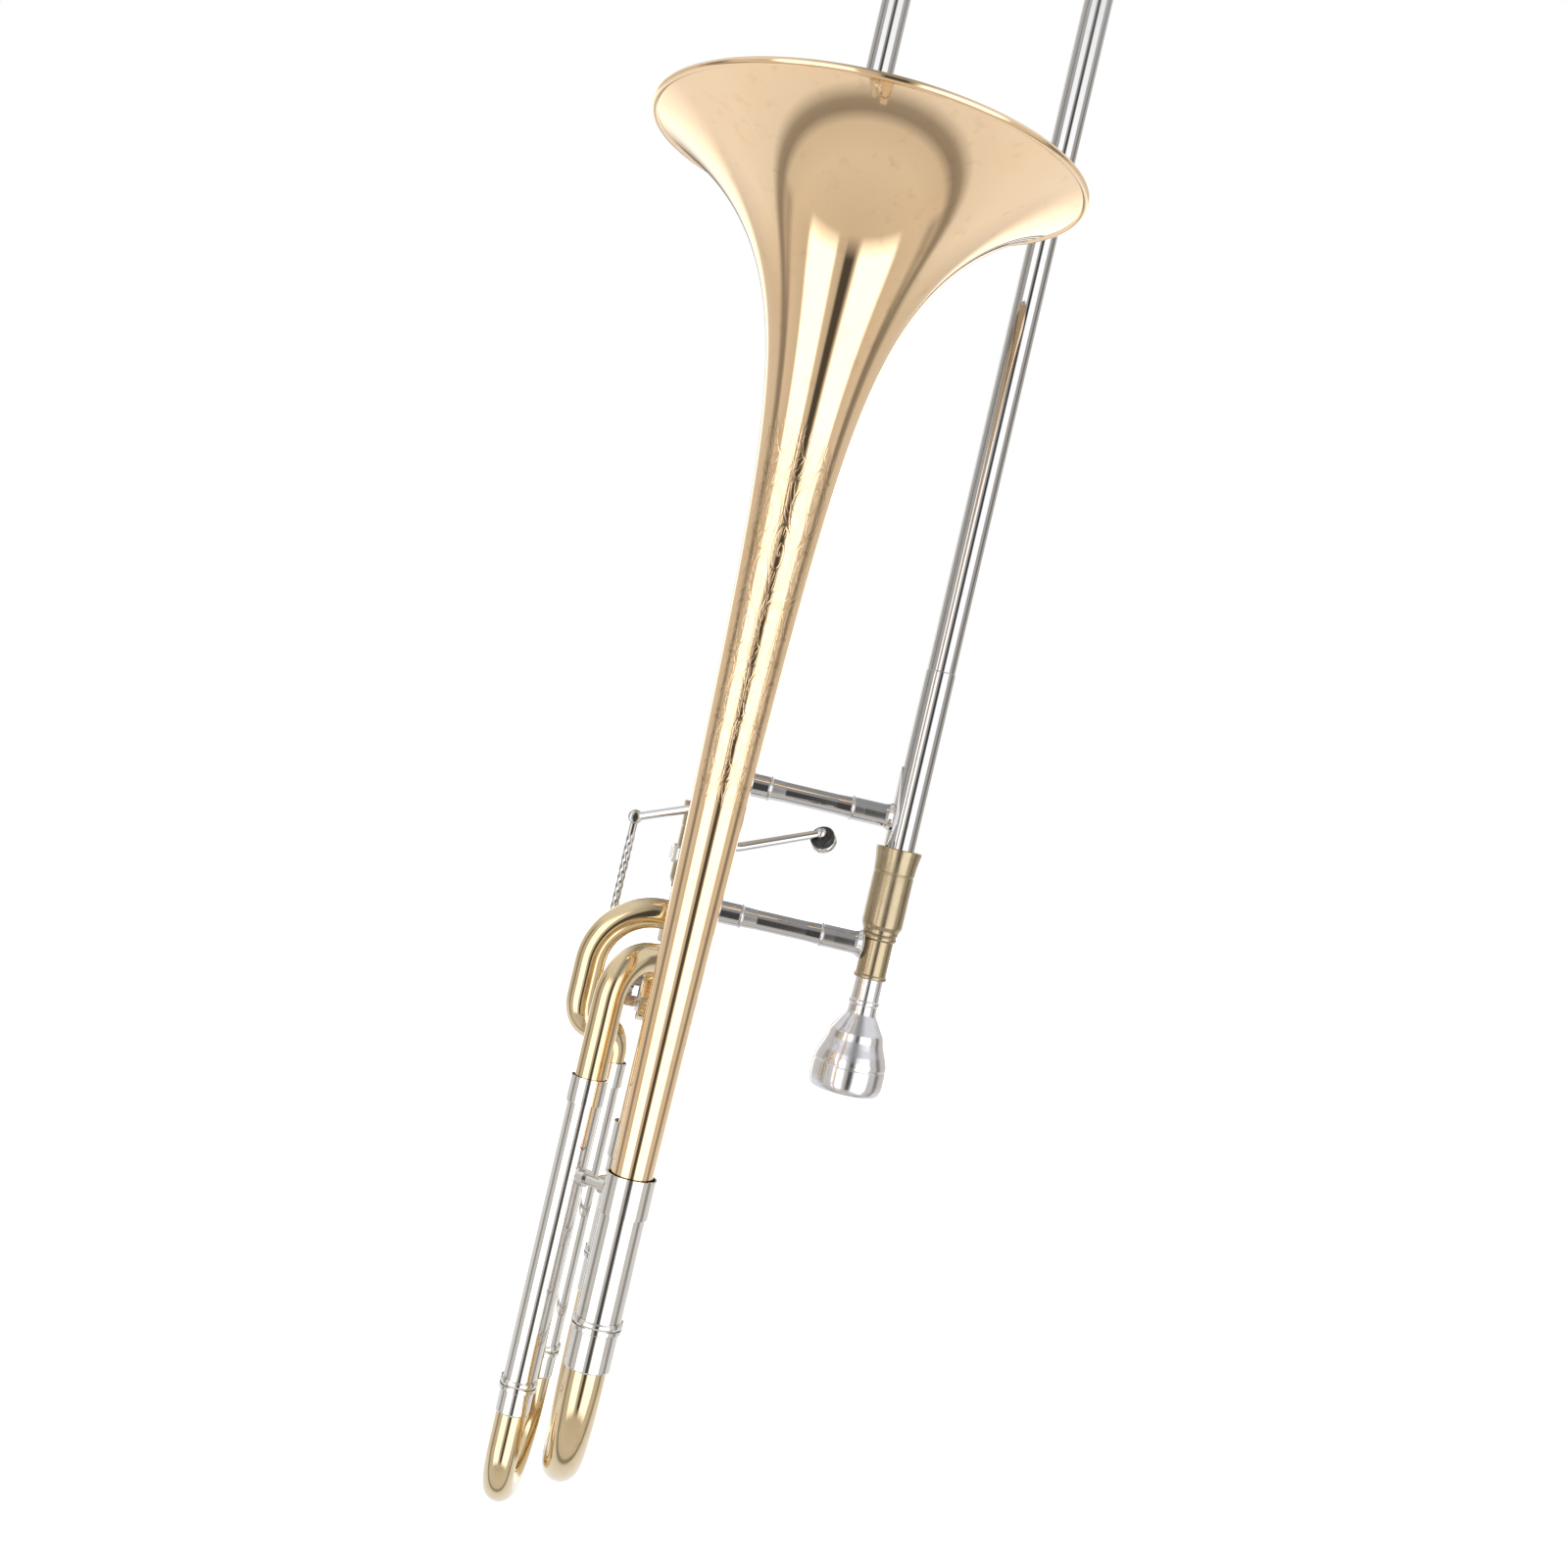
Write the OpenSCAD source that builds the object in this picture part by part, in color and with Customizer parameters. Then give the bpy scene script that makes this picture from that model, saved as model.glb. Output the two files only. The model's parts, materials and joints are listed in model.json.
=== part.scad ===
// Tenor trombone with a thumb-operated valve and its extra loop of tube.
// +Z runs along the instrument towards the bell's opening. The neckpipe's axis is the Z axis,
// the hand slide lies in the XZ plane and the bell stands in front of the neckpipe, towards -Y.

/* [Bell] */
// diameter of the bell's rim
bell_d = 203; // [190:1:216]
// length from the stem's joint to the rim
bell_len = 472; // [440:1:500]
// thickness of the bell's sheet
bell_wall = 0.8; // [0.6:0.1:1.0]
// distance from the neckpipe's axis to the bell's axis
bell_gap = 115; // [112:1:122]

/* [Hand slide] */
// distance between the two slide tubes
slide_gap = 103; // [98:1:110]
// outside diameter of the outer slide tubes
slide_od = 14.8; // [14.4:0.1:15.2]
// length of the outer slide tubes
slide_len = 723; // [680:1:740]
// how far the hand slide moves out
slide_travel = 600; // [560:10:610]

/* [Tuning slides] */
// length of the fixed legs of the main tuning slide
main_leg = 58; // [52:1:64]
// length of the fixed legs of the valve loop's slide
loop_leg = 135; // [120:1:145]
// how far the valve loop stands out to the side
loop_side = 28.2; // [27:0.2:32]

/* [Valve] */
// radius of the rotor
rotor_r = 16.5; // [16.5:0.1:17]
// angle that the thumb lever turns through
lever_turn = 27; // [20:1:28]

/* [Mouthpiece] */
// diameter of the mouthpiece's rim
cup_d = 39; // [37:0.5:41]

/* [Hidden] */
$fn = 48;

// fits and small common sizes
run_gap = 0.06;    // radial clearance of a running fit
free_gap = 0.3;    // clearance between parts that only pass each other
eps = 1;           // how far a cutter runs past the face it cuts
bend_lap = 0.3;    // how far a straight runs into the bend beside it
bend_swell = 0.03; // how much fuller a bend is than its straights

// colours
gold_brass = [0.86, 0.62, 0.42];
yellow_brass = [0.83, 0.66, 0.33];
raw_brass = [0.66, 0.58, 0.38];
nickel = [0.75, 0.73, 0.70];
plate = [0.85, 0.85, 0.86];
steel = [0.55, 0.56, 0.58];
black = [0.06, 0.06, 0.07];
cork = [0.72, 0.55, 0.37];
rubber = [0.10, 0.10, 0.10];

// bell
bell_tail_z = -107;
rim_z = bell_tail_z + bell_len;
stem_r = 11.0;
flare_reach = 60;
flare_power = 0.4747;
flare_fall = 40;
stem_thin = 1.2;
rim_bead_r = 1.7;
bell_steps = 44;
stem_end_z = bell_tail_z - 9;

// fixed legs of the main tuning slide
leg_top_z = stem_end_z;
leg_end_z = leg_top_z - main_leg - 2;
bell_leg_r = 10.8;
neck_leg_r = 8.9;
leg_wall = 0.6;
ring_h = 3;
ring_out = 1.1;
ferrule_out = 0.9;
ferrule_h = 18;

// main tuning slide
main_ferrule_h = 20;
main_bow_z = leg_end_z - main_ferrule_h - 6;
main_bow_r = 9.4;
neck_bow_r = 8.3;

// neckpipe and valve
receiver_r = 10;
neck_r = 7.6;
bore_r = 6.4;
tube_wall = 0.6;
valve_y = -17;
valve_z = -32;
rotor_half = 9;
casing_half = 12;
casing_r = rotor_r + 3;
passage_r = 6.2;
spindle_r = 3;
knuckle_bend = 9;
stop_arm_x = -16.2;
stop_arm_w = 3.6;
stop_arm_r = 12;
stop_rest = -45;
stop_turn = 90;
cork_lead = 26;
pin_reach = 5;     // how far the crank pin's head stands beyond the link, which swings in and out

// brace that the left hand holds
grip_foot_z = -9;
grip_head_z = 58;
grip_r = 3.4;

// thumb lever
lever_x = 2;
lever_z = 50;
lever_y = -28;
hub_len = 14;
hub_r = 4.2;
axle_r = 1.5;
link_x = -35;
link_y = -6.76;
link_z = 48.3;
link_rod_r = 2.1;
knob_foot = [58, lever_y, 57];
knob_tilt = 28;
eye_r = 3.6;
lever_bend = [16, -34, 45];

// valve loop
loop_r = 7.35;
loop_front_y = -bell_gap + 20;
loop_back_x = -20.3;
loop_back_y = -38;
loop_joint_z = -82;
loop_end_z = loop_joint_z - loop_leg;
loop_ferrule_h = 13;
loop_bow_z = loop_end_z - loop_ferrule_h - 16;
loop_crook_z = -13;
side_crook_z = -54;
side_crook_x = -40.6;
side_crook_y = -56;
port_run = 30;      // how far the front crook follows its port before it turns

// hand slide
barrel_top_z = 62.5;
barrel_foot_z = 17;
barrel_r = 10.5;
barrel_lip_r = 12.3;
barrel_bore_r = 9.5;
receiver_end_z = -6.8;
mouth_receiver_r = 8.4;
brace_low_z = 10;
brace_high_z = 78;
brace_r = 6;
slide_foot_z = 22.5;
slide_top_z = slide_foot_z + slide_len;
slide_r = slide_od / 2;
slide_wall = 0.35;
stocking_r = slide_r - slide_wall - run_gap;
inner_r = stocking_r - 0.15;
inner_wall = 0.3;
stocking_len = 110;
inner_foot_z = 14.2;
sleeve_r = slide_r + 0.4;
sleeve_top_z = 157.6;
slide_bow_z = slide_top_z + 15;
slide_bow_r = 7.7;
bow_ferrule_r = 8.7;
tip_z = slide_bow_z + slide_gap / 2 + slide_bow_r;

// water key
key_z = slide_top_z + 2;
key_pivot_y = -14.5;
key_arm = 34;

// mouthpiece
shank_r = 6.3;
shank_foot_r = 7.35;
shank_top_z = 14;
cup_rim_z = -67;
cup_rim_r = cup_d / 2;
throat_r = 3.3;

// ---------- geometry helpers ----------

function unit(v) = v / norm(v);
function turned(a, b) = acos(max(-1, min(1, unit(a) * unit(b))));
// length that the bend at corner i of path p takes from each straight beside it
function trim(p, bends, i) =
    (i == 0 || i == len(p) - 1) ? 0 : bends[i - 1] * tan(turned(p[i] - p[i - 1], p[i + 1] - p[i]) / 2);

module tube(ro, ri, h) {
    difference() {
        cylinder(r = ro, h = h);
        translate([0, 0, -eps]) cylinder(r = ri, h = h + 2 * eps);
    }
}

// puts children, drawn along +Z, on the line from a towards b
module along(a, b) {
    d = unit(b - a);
    translate(a) rotate([0, acos(d[2]), atan2(d[1], d[0])]) children();
}

module rod(a, b, r) {
    along(a, b) cylinder(r = r, h = norm(b - a));
}

// a solid bend of radius r round the corner from direction u to direction v
module elbow(corner, u, v, r, ro) {
    side = unit(v - u * (u * v));
    c = corner - u * r * tan(turned(u, v) / 2) + side * r;
    n = cross(-side, u);
    multmatrix([
        [-side[0], u[0], n[0], c[0]],
        [-side[1], u[1], n[1], c[1]],
        [-side[2], u[2], n[2], c[2]],
        [0, 0, 0, 1]
    ])
        rotate_extrude(angle = turned(u, v)) translate([r, 0]) circle(r = ro);
}

// a rod along path p with a round bend at each corner; each bend is a hair fuller than
// the straights, which run a little way into it, so that they join cleanly
module bent_rod(p, bends, r, past = 0) {
    last = len(p) - 2;
    for (i = [0 : last]) {
        u = unit(p[i + 1] - p[i]);
        a = p[i] + u * (trim(p, bends, i) - (i > 0 ? bend_lap : past));
        b = p[i + 1] - u * (trim(p, bends, i + 1) - (i < last ? bend_lap : past));
        rod(a, b, r);
    }
    for (i = [1 : last])
        elbow(p[i], unit(p[i] - p[i - 1]), unit(p[i + 1] - p[i]), bends[i - 1], r + bend_swell);
}

// a tube along path p
module bent_tube(p, bends, ro, ri) {
    difference() {
        bent_rod(p, bends, ro);
        bent_rod(p, bends, ri, eps);
    }
}

// half ring of tube that joins two legs, open towards +Z; it hangs below the point between them
module bow(reach, ro, ri) {
    rotate([0, 0, 90]) rotate([90, 0, 0])
        rotate_extrude(angle = 180, start = 180) translate([reach, 0]) difference() {
            circle(r = ro);
            circle(r = ri);
        }
}

// ---------- bell section ----------

function stem_at(x) = stem_r * pow((bell_len + flare_reach) / (x + flare_reach), flare_power);
flare_size = bell_d / 2 - rim_bead_r - stem_at(0);
// outer radius of the bell at distance x from the rim
function bell_r(x) = stem_at(x) + flare_size * exp(-x / flare_fall) - stem_thin * pow(x / bell_len, 2);
bell_x = [for (i = [0 : bell_steps]) bell_len * pow(i / bell_steps, 2)];
bell_outer = [for (x = bell_x) [bell_r(x), rim_z - x]];
tail_r = bell_r(bell_len);
// inner face at distance x from the rim: moved in on the stem and forward on the flare
function bell_inside(x) = [bell_r(x) - bell_wall, rim_z - x + bell_wall * exp(-x / flare_fall)];
bell_inner = [for (i = [bell_steps : -1 : 0]) bell_inside(bell_x[i])];

module bell_section() {
    polygon(concat(bell_outer, [[tail_r, stem_end_z], [tail_r - bell_wall, stem_end_z]], bell_inner));
}

module bell() {
    color(gold_brass) translate([0, -bell_gap, 0]) rotate_extrude() bell_section();
}

module bell_rim() {
    color(gold_brass) translate([0, -bell_gap, 0])
        rotate_extrude() difference() {
            translate([bell_d / 2 - rim_bead_r, rim_z + 0.6]) circle(r = rim_bead_r);
            bell_section();
        }
}

// joint sleeves: bell stem to leg, valve tube to leg, and the tops of the loop's legs
module leg_ferrules() {
    color(nickel) {
        translate([0, -bell_gap, bell_tail_z - ferrule_h])
            tube(bell_leg_r + ferrule_out, bell_leg_r, ferrule_h);
        translate([0, 0, bell_tail_z - ferrule_h]) tube(neck_leg_r + ferrule_out, neck_leg_r, ferrule_h);
        for (p = [[-loop_side, loop_front_y], [loop_back_x, loop_back_y]])
            translate([p[0], p[1], loop_joint_z - 1])
                tube(loop_r + leg_wall + ferrule_out, loop_r + leg_wall, 12);
    }
}

module outer_leg(r, z0, z1) {
    translate([0, 0, z1]) tube(r, r - leg_wall, z0 - z1);
}

module bell_leg() {
    color(nickel) translate([0, -bell_gap, 0]) outer_leg(bell_leg_r, leg_top_z, leg_end_z);
}

module neck_leg() {
    color(nickel) outer_leg(neck_leg_r, leg_top_z, leg_end_z);
}

module loop_leg_front() {
    color(nickel) translate([-loop_side, loop_front_y, 0])
        outer_leg(loop_r + leg_wall, loop_joint_z + 3, loop_end_z);
}

module loop_leg_back() {
    color(nickel) translate([loop_back_x, loop_back_y, 0])
        outer_leg(loop_r + leg_wall, loop_joint_z + 3, loop_end_z);
}

module end_ring(r, z) {
    translate([0, 0, z]) rotate_extrude() polygon([
        [r, 0], [r + ring_out * 0.6, 0], [r + ring_out, ring_h * 0.3], [r + ring_out, ring_h * 0.7],
        [r + ring_out * 0.6, ring_h], [r, ring_h]
    ]);
}

module leg_rings() {
    color(nickel) {
        translate([0, -bell_gap, 0]) end_ring(bell_leg_r, leg_end_z);
        end_ring(neck_leg_r, leg_end_z);
        translate([-loop_side, loop_front_y, 0]) end_ring(loop_r + leg_wall, loop_end_z);
        translate([loop_back_x, loop_back_y, 0]) end_ring(loop_r + leg_wall, loop_end_z);
    }
}

// round bar from a to b with a flange at each end, cut back to the tubes that it stands on
module brace(a, b, r, flange_r, tube_a, tube_b) {
    difference() {
        union() {
            rod(a, b, r);
            rod(a, a + unit(b - a) * (tube_a + 3), flange_r);
            rod(b, b + unit(a - b) * (tube_b + 3), flange_r);
        }
        translate([a[0], a[1], a[2] - 40]) cylinder(r = tube_a, h = 80);
        translate([b[0], b[1], b[2] - 40]) cylinder(r = tube_b, h = 80);
    }
}

module tail_brace() {
    z = (leg_top_z + leg_end_z) / 2 - 4;
    color(nickel) brace([0, -bell_gap, z], [0, 0, z], 3, 6, bell_leg_r, neck_leg_r);
}

module loop_braces() {
    z_front = bell_tail_z - 9;
    front = [-loop_side, loop_front_y, z_front];
    z_back = loop_end_z + 82;
    color(nickel) {
        brace(front, [0, -bell_gap, z_front], 2.6, 4.2, loop_r + leg_wall, bell_leg_r + ferrule_out);
        brace([loop_back_x, loop_back_y, z_back], [0, 0, z_back], 2.6, 4.2, loop_r + leg_wall, neck_leg_r);
    }
}

module neck_receiver() {
    color(nickel) translate([0, 0, -11.4]) difference() {
        tube(receiver_r, neck_r, 12.4);
        translate([0, 0, 2.4]) cylinder(r1 = 8.05, r2 = 8.45, h = 12);
    }
}

casing_axis = [0, valve_y, valve_z];
// unit step from the rotor's axis to the port at angle a, seen along +X with +Y at 0
function port_way(a) = [0, cos(a), sin(a)];

module casing_solid() {
    translate([-casing_half, valve_y, valve_z]) rotate([0, 90, 0]) cylinder(r = casing_r, h = 2 * casing_half);
}

// tube path that starts inside the casing and leaves it through the port at angle a
module ported(p, bends, ro, ri) {
    difference() {
        bent_tube(p, bends, ro, ri);
        casing_solid();
    }
}

neck_corner_z = valve_z - valve_y;
main_corner_z = valve_z + valve_y;

module neckpipe() {
    color(yellow_brass)
        ported(
            [[0, 0, -9], [0, 0, neck_corner_z], casing_axis + port_way(45) * 15],
            [knuckle_bend], neck_r, bore_r
        );
}

module main_tube() {
    color(yellow_brass) {
        ported(
            [[0, 0, leg_top_z], [0, 0, main_corner_z], casing_axis + port_way(-45) * 15],
            [knuckle_bend], neck_r, bore_r
        );
        translate([0, 0, leg_top_z]) tube(neck_leg_r, neck_r, 9);
    }
}

module grip_brace() {
    foot = [0, -receiver_r, grip_foot_z];
    head = [0, -bell_gap + bell_r(rim_z - grip_head_z), grip_head_z];
    way = unit(head - foot);
    color(nickel) difference() {
        union() {
            rod(foot - way, head + way, grip_r);
            rod(foot - way * 2, foot + way * 3, 4.3);
            rod(head - way * 3, head + way * 3, 7);
        }
        translate([0, 0, grip_foot_z - 20]) cylinder(r = receiver_r, h = 40);
        translate([0, -bell_gap, 0]) rotate_extrude() polygon(concat(
            bell_outer, [[0, rim_z - bell_len], [0, rim_z]]
        ));
    }
}

// post that carries the thumb lever's axle
module lever_post() {
    y = lever_y - hub_len - 6;
    foot_z = grip_foot_z + (grip_head_z - grip_foot_z) * (-receiver_r - y) / (bell_gap - receiver_r - 13);
    color(nickel) difference() {
        union() {
            rod([lever_x, y, foot_z], [lever_x, y, lever_z], 2.6);
            rod([lever_x, y - 3, lever_z], [lever_x, y + 3, lever_z], hub_r);
            rod([lever_x, y, foot_z], [lever_x, y, foot_z + 8], 4.2);
        }
        rod([0, -receiver_r, grip_foot_z], [0, -bell_gap + 13, grip_head_z], grip_r);
        rod([lever_x, y - 5, lever_z], [lever_x, y + 5, lever_z], axle_r);
    }
}

module lever_axle() {
    y = lever_y - hub_len - 9;
    color(steel) {
        rod([lever_x, y, lever_z], [lever_x, lever_y + 0.4, lever_z], axle_r);
        rod([lever_x, lever_y + 0.4, lever_z], [lever_x, lever_y + 2.2, lever_z], 3);
        rod([lever_x, y - 1.6, lever_z], [lever_x, y, lever_z], 3);
    }
}

// three coils round the axle, with one end bearing on the post
module lever_spring() {
    wire = 0.4;
    coil_r = 2.6;
    y = lever_y - hub_len - 0.45;
    color(steel) {
        for (i = [0 : 2])
            translate([lever_x, y - i * 2 * wire, lever_z]) rotate([90, 0, 0])
                rotate_extrude() translate([coil_r, 0]) circle(r = wire * 1.02);
    }
}

// ---------- rotary valve ----------

// lines children, drawn along +X, up with the rotor's axis
module on_valve() {
    translate([0, valve_y, valve_z]) children();
}

module disc_x(x, r, w) {
    translate([x, 0, 0]) rotate([0, 90, 0]) cylinder(r = r, h = w);
}

module valve_casing() {
    color(yellow_brass) on_valve() difference() {
        disc_x(-casing_half, casing_r, 2 * casing_half);
        disc_x(-casing_half - eps, rotor_r + run_gap, 2 * casing_half + 2 * eps);
        for (a = [45 : 90 : 315])
            rod([0, 0, 0], port_way(a) * (casing_r + 3), bore_r);
    }
}

module valve_rotor() {
    ring = rotor_r * sqrt(2);
    color(steel) on_valve() {
        difference() {
            disc_x(-rotor_half, rotor_r, 2 * rotor_half);
            for (s = [-1, 1])
                translate([0, s * ring, 0]) rotate([0, 90, 0])
                    rotate_extrude() translate([rotor_r, 0]) circle(r = passage_r);
        }
        disc_x(rotor_half, spindle_r, 2.6);
        disc_x(stop_arm_x - stop_arm_w, spindle_r, stop_arm_w - stop_arm_x - rotor_half);
    }
}

module valve_bearings() {
    color(steel) on_valve() {
        for (x = [-casing_half, rotor_half + 0.1])
            translate([x, 0, 0]) rotate([0, 90, 0])
                tube(rotor_r + run_gap, spindle_r + run_gap, casing_half - rotor_half - 0.1);
    }
}

module valve_cap() {
    color(nickel) on_valve() translate([casing_half, 0, 0]) rotate([0, 90, 0])
        rotate_extrude() polygon([[0, 0], [18, 0], [18, 1.6], [16.5, 2.6], [6, 3.4], [0, 3.4]]);
}

// plate on the casing's stop-arm side, with two studs for the corks
module stop_plate() {
    color(nickel) on_valve() {
        difference() {
            disc_x(-casing_half - 1.2, 15.5, 1.2);
            disc_x(-casing_half - 3, spindle_r + free_gap, 5);
        }
        for (a = [stop_rest + 180 - cork_lead, stop_rest + 180 + stop_turn + cork_lead])
            translate(port_way(a) * 11) disc_x(-casing_half - 2.4, 2.8, 1.3);
    }
}

module stop_corks() {
    color(cork) on_valve()
        for (a = [stop_rest + 180 - cork_lead, stop_rest + 180 + stop_turn + cork_lead])
            translate(port_way(a) * 11) disc_x(-casing_half - 8, 2.8, 5.6);
}

module stop_arm() {
    pin = port_way(stop_rest) * stop_arm_r;
    tail = port_way(stop_rest + 180) * 11;
    x = stop_arm_x - stop_arm_w;
    color(steel) on_valve() {
        difference() {
            union() {
                disc_x(x, 5, stop_arm_w);
                rod([x + stop_arm_w / 2, 0, 0], pin + [x + stop_arm_w / 2, 0, 0], 1.7);
                translate(pin) disc_x(x, 2.6, stop_arm_w);
                rod([x + stop_arm_w / 2, 0, 0], tail + [x + stop_arm_w / 2, 0, 0], 1.7);
            }
            disc_x(x - eps, spindle_r, stop_arm_w + 2 * eps);
        }
        translate(pin) disc_x(link_x - pin_reach + 0.8, 1.25, x - link_x + pin_reach - 0.8);
        translate(pin) disc_x(link_x - pin_reach, 2.6, 0.8);
        disc_x(x - 1.4, 4.4, 1.4);
    }
}

// ---------- thumb lever and link ----------

link_top = [link_x, link_y, link_z];
link_foot = [link_x, link_y, valve_z + sin(stop_rest) * stop_arm_r];

module thumb_lever() {
    y_hub = lever_y - hub_len;
    color(plate) {
        difference() {
            union() {
                rod([lever_x, y_hub, lever_z], [lever_x, lever_y, lever_z], hub_r);
                bent_rod([[lever_x, lever_y - 4, lever_z], [-4, -24, 61], link_top + [0, -5, 0]], [5], 2.1);
                bent_rod([[lever_x, lever_y - 8, lever_z], lever_bend, knob_foot], [6], 2.2);
            }
            rod([lever_x, y_hub - 5, lever_z], [lever_x, lever_y + 5, lever_z], axle_r + run_gap);
        }
        rod(link_top + [0, -8, 0], link_top + [0, -2.4, 0], 3.2);
        rod(link_top + [0, -3, 0], link_top + [0, 3, 0], axle_r);
        rod(link_top + [0, 2.5, 0], link_top + [0, 3.6, 0], 2.6);
    }
}

// round thumb piece with its domed face turned up and outwards
module thumb_knob() {
    color(black) difference() {
        translate(knob_foot) rotate([0, knob_tilt, 0]) rotate_extrude()
            polygon([[0, 0], [6.4, 0], [7, 1], [7, 5], [6, 6.2], [3, 6.8], [0, 7]]);
        rod(lever_bend, knob_foot, 2.2);
    }
}

module link_rod() {
    drop = link_top[2] - link_foot[2];
    color(plate) {
        difference() {
            union() {
                rod(link_top + [0, -2, 0], link_top + [0, 2, 0], eye_r);
                rod(link_top, link_top - [0, 0, drop - 4], link_rod_r);
                rod(link_foot + [-2, 0, 0], link_foot + [2, 0, 0], 5);
            }
            rod(link_top + [0, -5, 0], link_top + [0, 5, 0], axle_r + run_gap);
            rod(link_foot + [-5, 0, 0], link_foot + [5, 0, 0], 3.4);
        }
    }
}

// ---------- valve loop ----------

module loop_crook_front() {
    color(yellow_brass) ported(
        [
            casing_axis + port_way(225) * 15,
            casing_axis + port_way(225) * port_run,
            [0, side_crook_y - 8, loop_crook_z],
            [-loop_side, loop_front_y, loop_crook_z],
            [-loop_side, loop_front_y, loop_joint_z + 3]
        ],
        [knuckle_bend, 13, 21], loop_r, bore_r
    );
}

// sweeps out to the side from the upper port and back in to the rear leg
module loop_crook_side() {
    top = casing_axis + port_way(135) * (valve_y - side_crook_y) / cos(45);
    color(yellow_brass) ported(
        [
            casing_axis + port_way(135) * 15,
            top,
            [side_crook_x, side_crook_y, top[2]],
            [side_crook_x, side_crook_y, side_crook_z],
            [loop_back_x, loop_back_y, side_crook_z],
            [loop_back_x, loop_back_y, loop_joint_z + 3]
        ],
        [10, 30, 13, 13], loop_r, bore_r
    );
}

// ---------- inner hand slide ----------

slide_x = [0, slide_gap];

module barrel() {
    rotate_extrude() polygon([
        [inner_r, barrel_foot_z], [mouth_receiver_r + 1, barrel_foot_z],
        [mouth_receiver_r + 1, barrel_foot_z + 2],
        [barrel_r, barrel_foot_z + 8], [barrel_r, barrel_top_z - 9],
        [barrel_lip_r - 0.4, barrel_top_z - 2],
        [barrel_lip_r, barrel_top_z - 0.8], [barrel_lip_r - 0.6, barrel_top_z],
        [barrel_bore_r, barrel_top_z - 5],
        [barrel_bore_r, barrel_foot_z + 3], [inner_r, barrel_foot_z + 3]
    ]);
}

module barrel_mouth() {
    color(raw_brass) translate([slide_gap, 0, 0]) barrel();
}

module barrel_bell() {
    color(raw_brass) barrel();
}

module slide_corks() {
    color(cork)
        for (x = slide_x)
            translate([x, 0, barrel_foot_z + 3]) tube(barrel_bore_r - 0.3, inner_r, 2.2);
}

module mouth_receiver() {
    color(raw_brass) translate([slide_gap, 0, 0]) difference() {
        rotate_extrude() polygon([
            [0, receiver_end_z], [mouth_receiver_r + 0.5, receiver_end_z],
            [mouth_receiver_r + 0.8, receiver_end_z + 1.2], [mouth_receiver_r, receiver_end_z + 3],
            [mouth_receiver_r, barrel_foot_z], [0, barrel_foot_z]
        ]);
        translate([0, 0, receiver_end_z - eps])
            cylinder(r1 = shank_foot_r + 0.07, r2 = shank_r + 0.05, h = shank_top_z - receiver_end_z + eps);
        translate([0, 0, 12.2]) cylinder(r = inner_r, h = 10);
    }
}

module leadpipe() {
    color(yellow_brass) translate([slide_gap, 0, inner_foot_z])
        tube(inner_r - inner_wall, inner_r - inner_wall - 0.4, 190);
}

module inner_tube() {
    top = slide_top_z - 6;
    translate([0, 0, inner_foot_z]) tube(inner_r, inner_r - inner_wall, top - inner_foot_z);
    translate([0, 0, top - stocking_len]) tube(stocking_r, inner_r, stocking_len);
}

module inner_tube_mouth() {
    color(plate) translate([slide_gap, 0, 0]) inner_tube();
}

module inner_tube_bell() {
    color(plate) inner_tube();
}

// tapered end that seats in the neckpipe's receiver
module slide_joint() {
    color(raw_brass) difference() {
        rotate_extrude() polygon([
            [0, -8.8], [8.0, -8.8], [8.35, 1], [9.5, 1], [9.5, 2], [mouth_receiver_r, 2],
            [mouth_receiver_r, barrel_foot_z], [0, barrel_foot_z]
        ]);
        translate([0, 0, -9.5]) cylinder(r = bore_r, h = 25);
        translate([0, 0, inner_foot_z]) cylinder(r = inner_r, h = 10);
    }
}

// bar across the slide: a middle piece held in a beaded socket at each side
module cross_bar(z, tube_r) {
    socket = 21;
    difference() {
        union() {
            rod([tube_r - 1, 0, z], [slide_gap - tube_r + 1, 0, z], brace_r - 0.4);
            for (s = [0, 1]) {
                x0 = s == 0 ? 0 : slide_gap;
                d = s == 0 ? 1 : -1;
                rod([x0 + d * (tube_r - 2), 0, z], [x0 + d * (tube_r + socket), 0, z], brace_r);
                rod(
                    [x0 + d * (tube_r + socket), 0, z],
                    [x0 + d * (tube_r + socket + 1.6), 0, z],
                    brace_r + 0.5
                );
                rod([x0 + d * (tube_r - 2), 0, z], [x0 + d * (tube_r + 2.6), 0, z], brace_r + 0.6);
            }
        }
        for (x = slide_x)
            translate([x, 0, z - 30]) cylinder(r = tube_r, h = 60);
    }
}

module inner_brace() {
    color(plate) cross_bar(brace_low_z, mouth_receiver_r);
}

// knurled nut that draws the slide's taper into the receiver
module lock_nut() {
    knurls = 24;
    nut_r = 12.2;
    color(nickel) translate([0, 0, -2.2]) difference() {
        cylinder(r = nut_r, h = 5.2);
        translate([0, 0, -eps]) cylinder(r = receiver_r + run_gap, h = 4.4 + eps);
        translate([0, 0, 3]) cylinder(r = mouth_receiver_r + free_gap, h = 5);
        for (i = [0 : knurls - 1])
            rotate([0, 0, i * 360 / knurls]) translate([nut_r + 0.4, 0, -eps]) cylinder(r = 0.9, h = 8);
    }
}

// ring on the bell-side barrel that turns to hook the hand slide shut
module slide_lock() {
    lock_r = 12.6;
    color(nickel) translate([0, 0, 30]) difference() {
        union() {
            cylinder(r = lock_r, h = 9);
            for (i = [0 : 17])
                rotate([0, 0, i * 20]) translate([lock_r - 0.2, 0, 1.5]) cylinder(r = 0.8, h = 6);
        }
        translate([0, 0, -eps]) cylinder(r = barrel_r + run_gap, h = 12);
    }
}

// ---------- outer hand slide ----------

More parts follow.
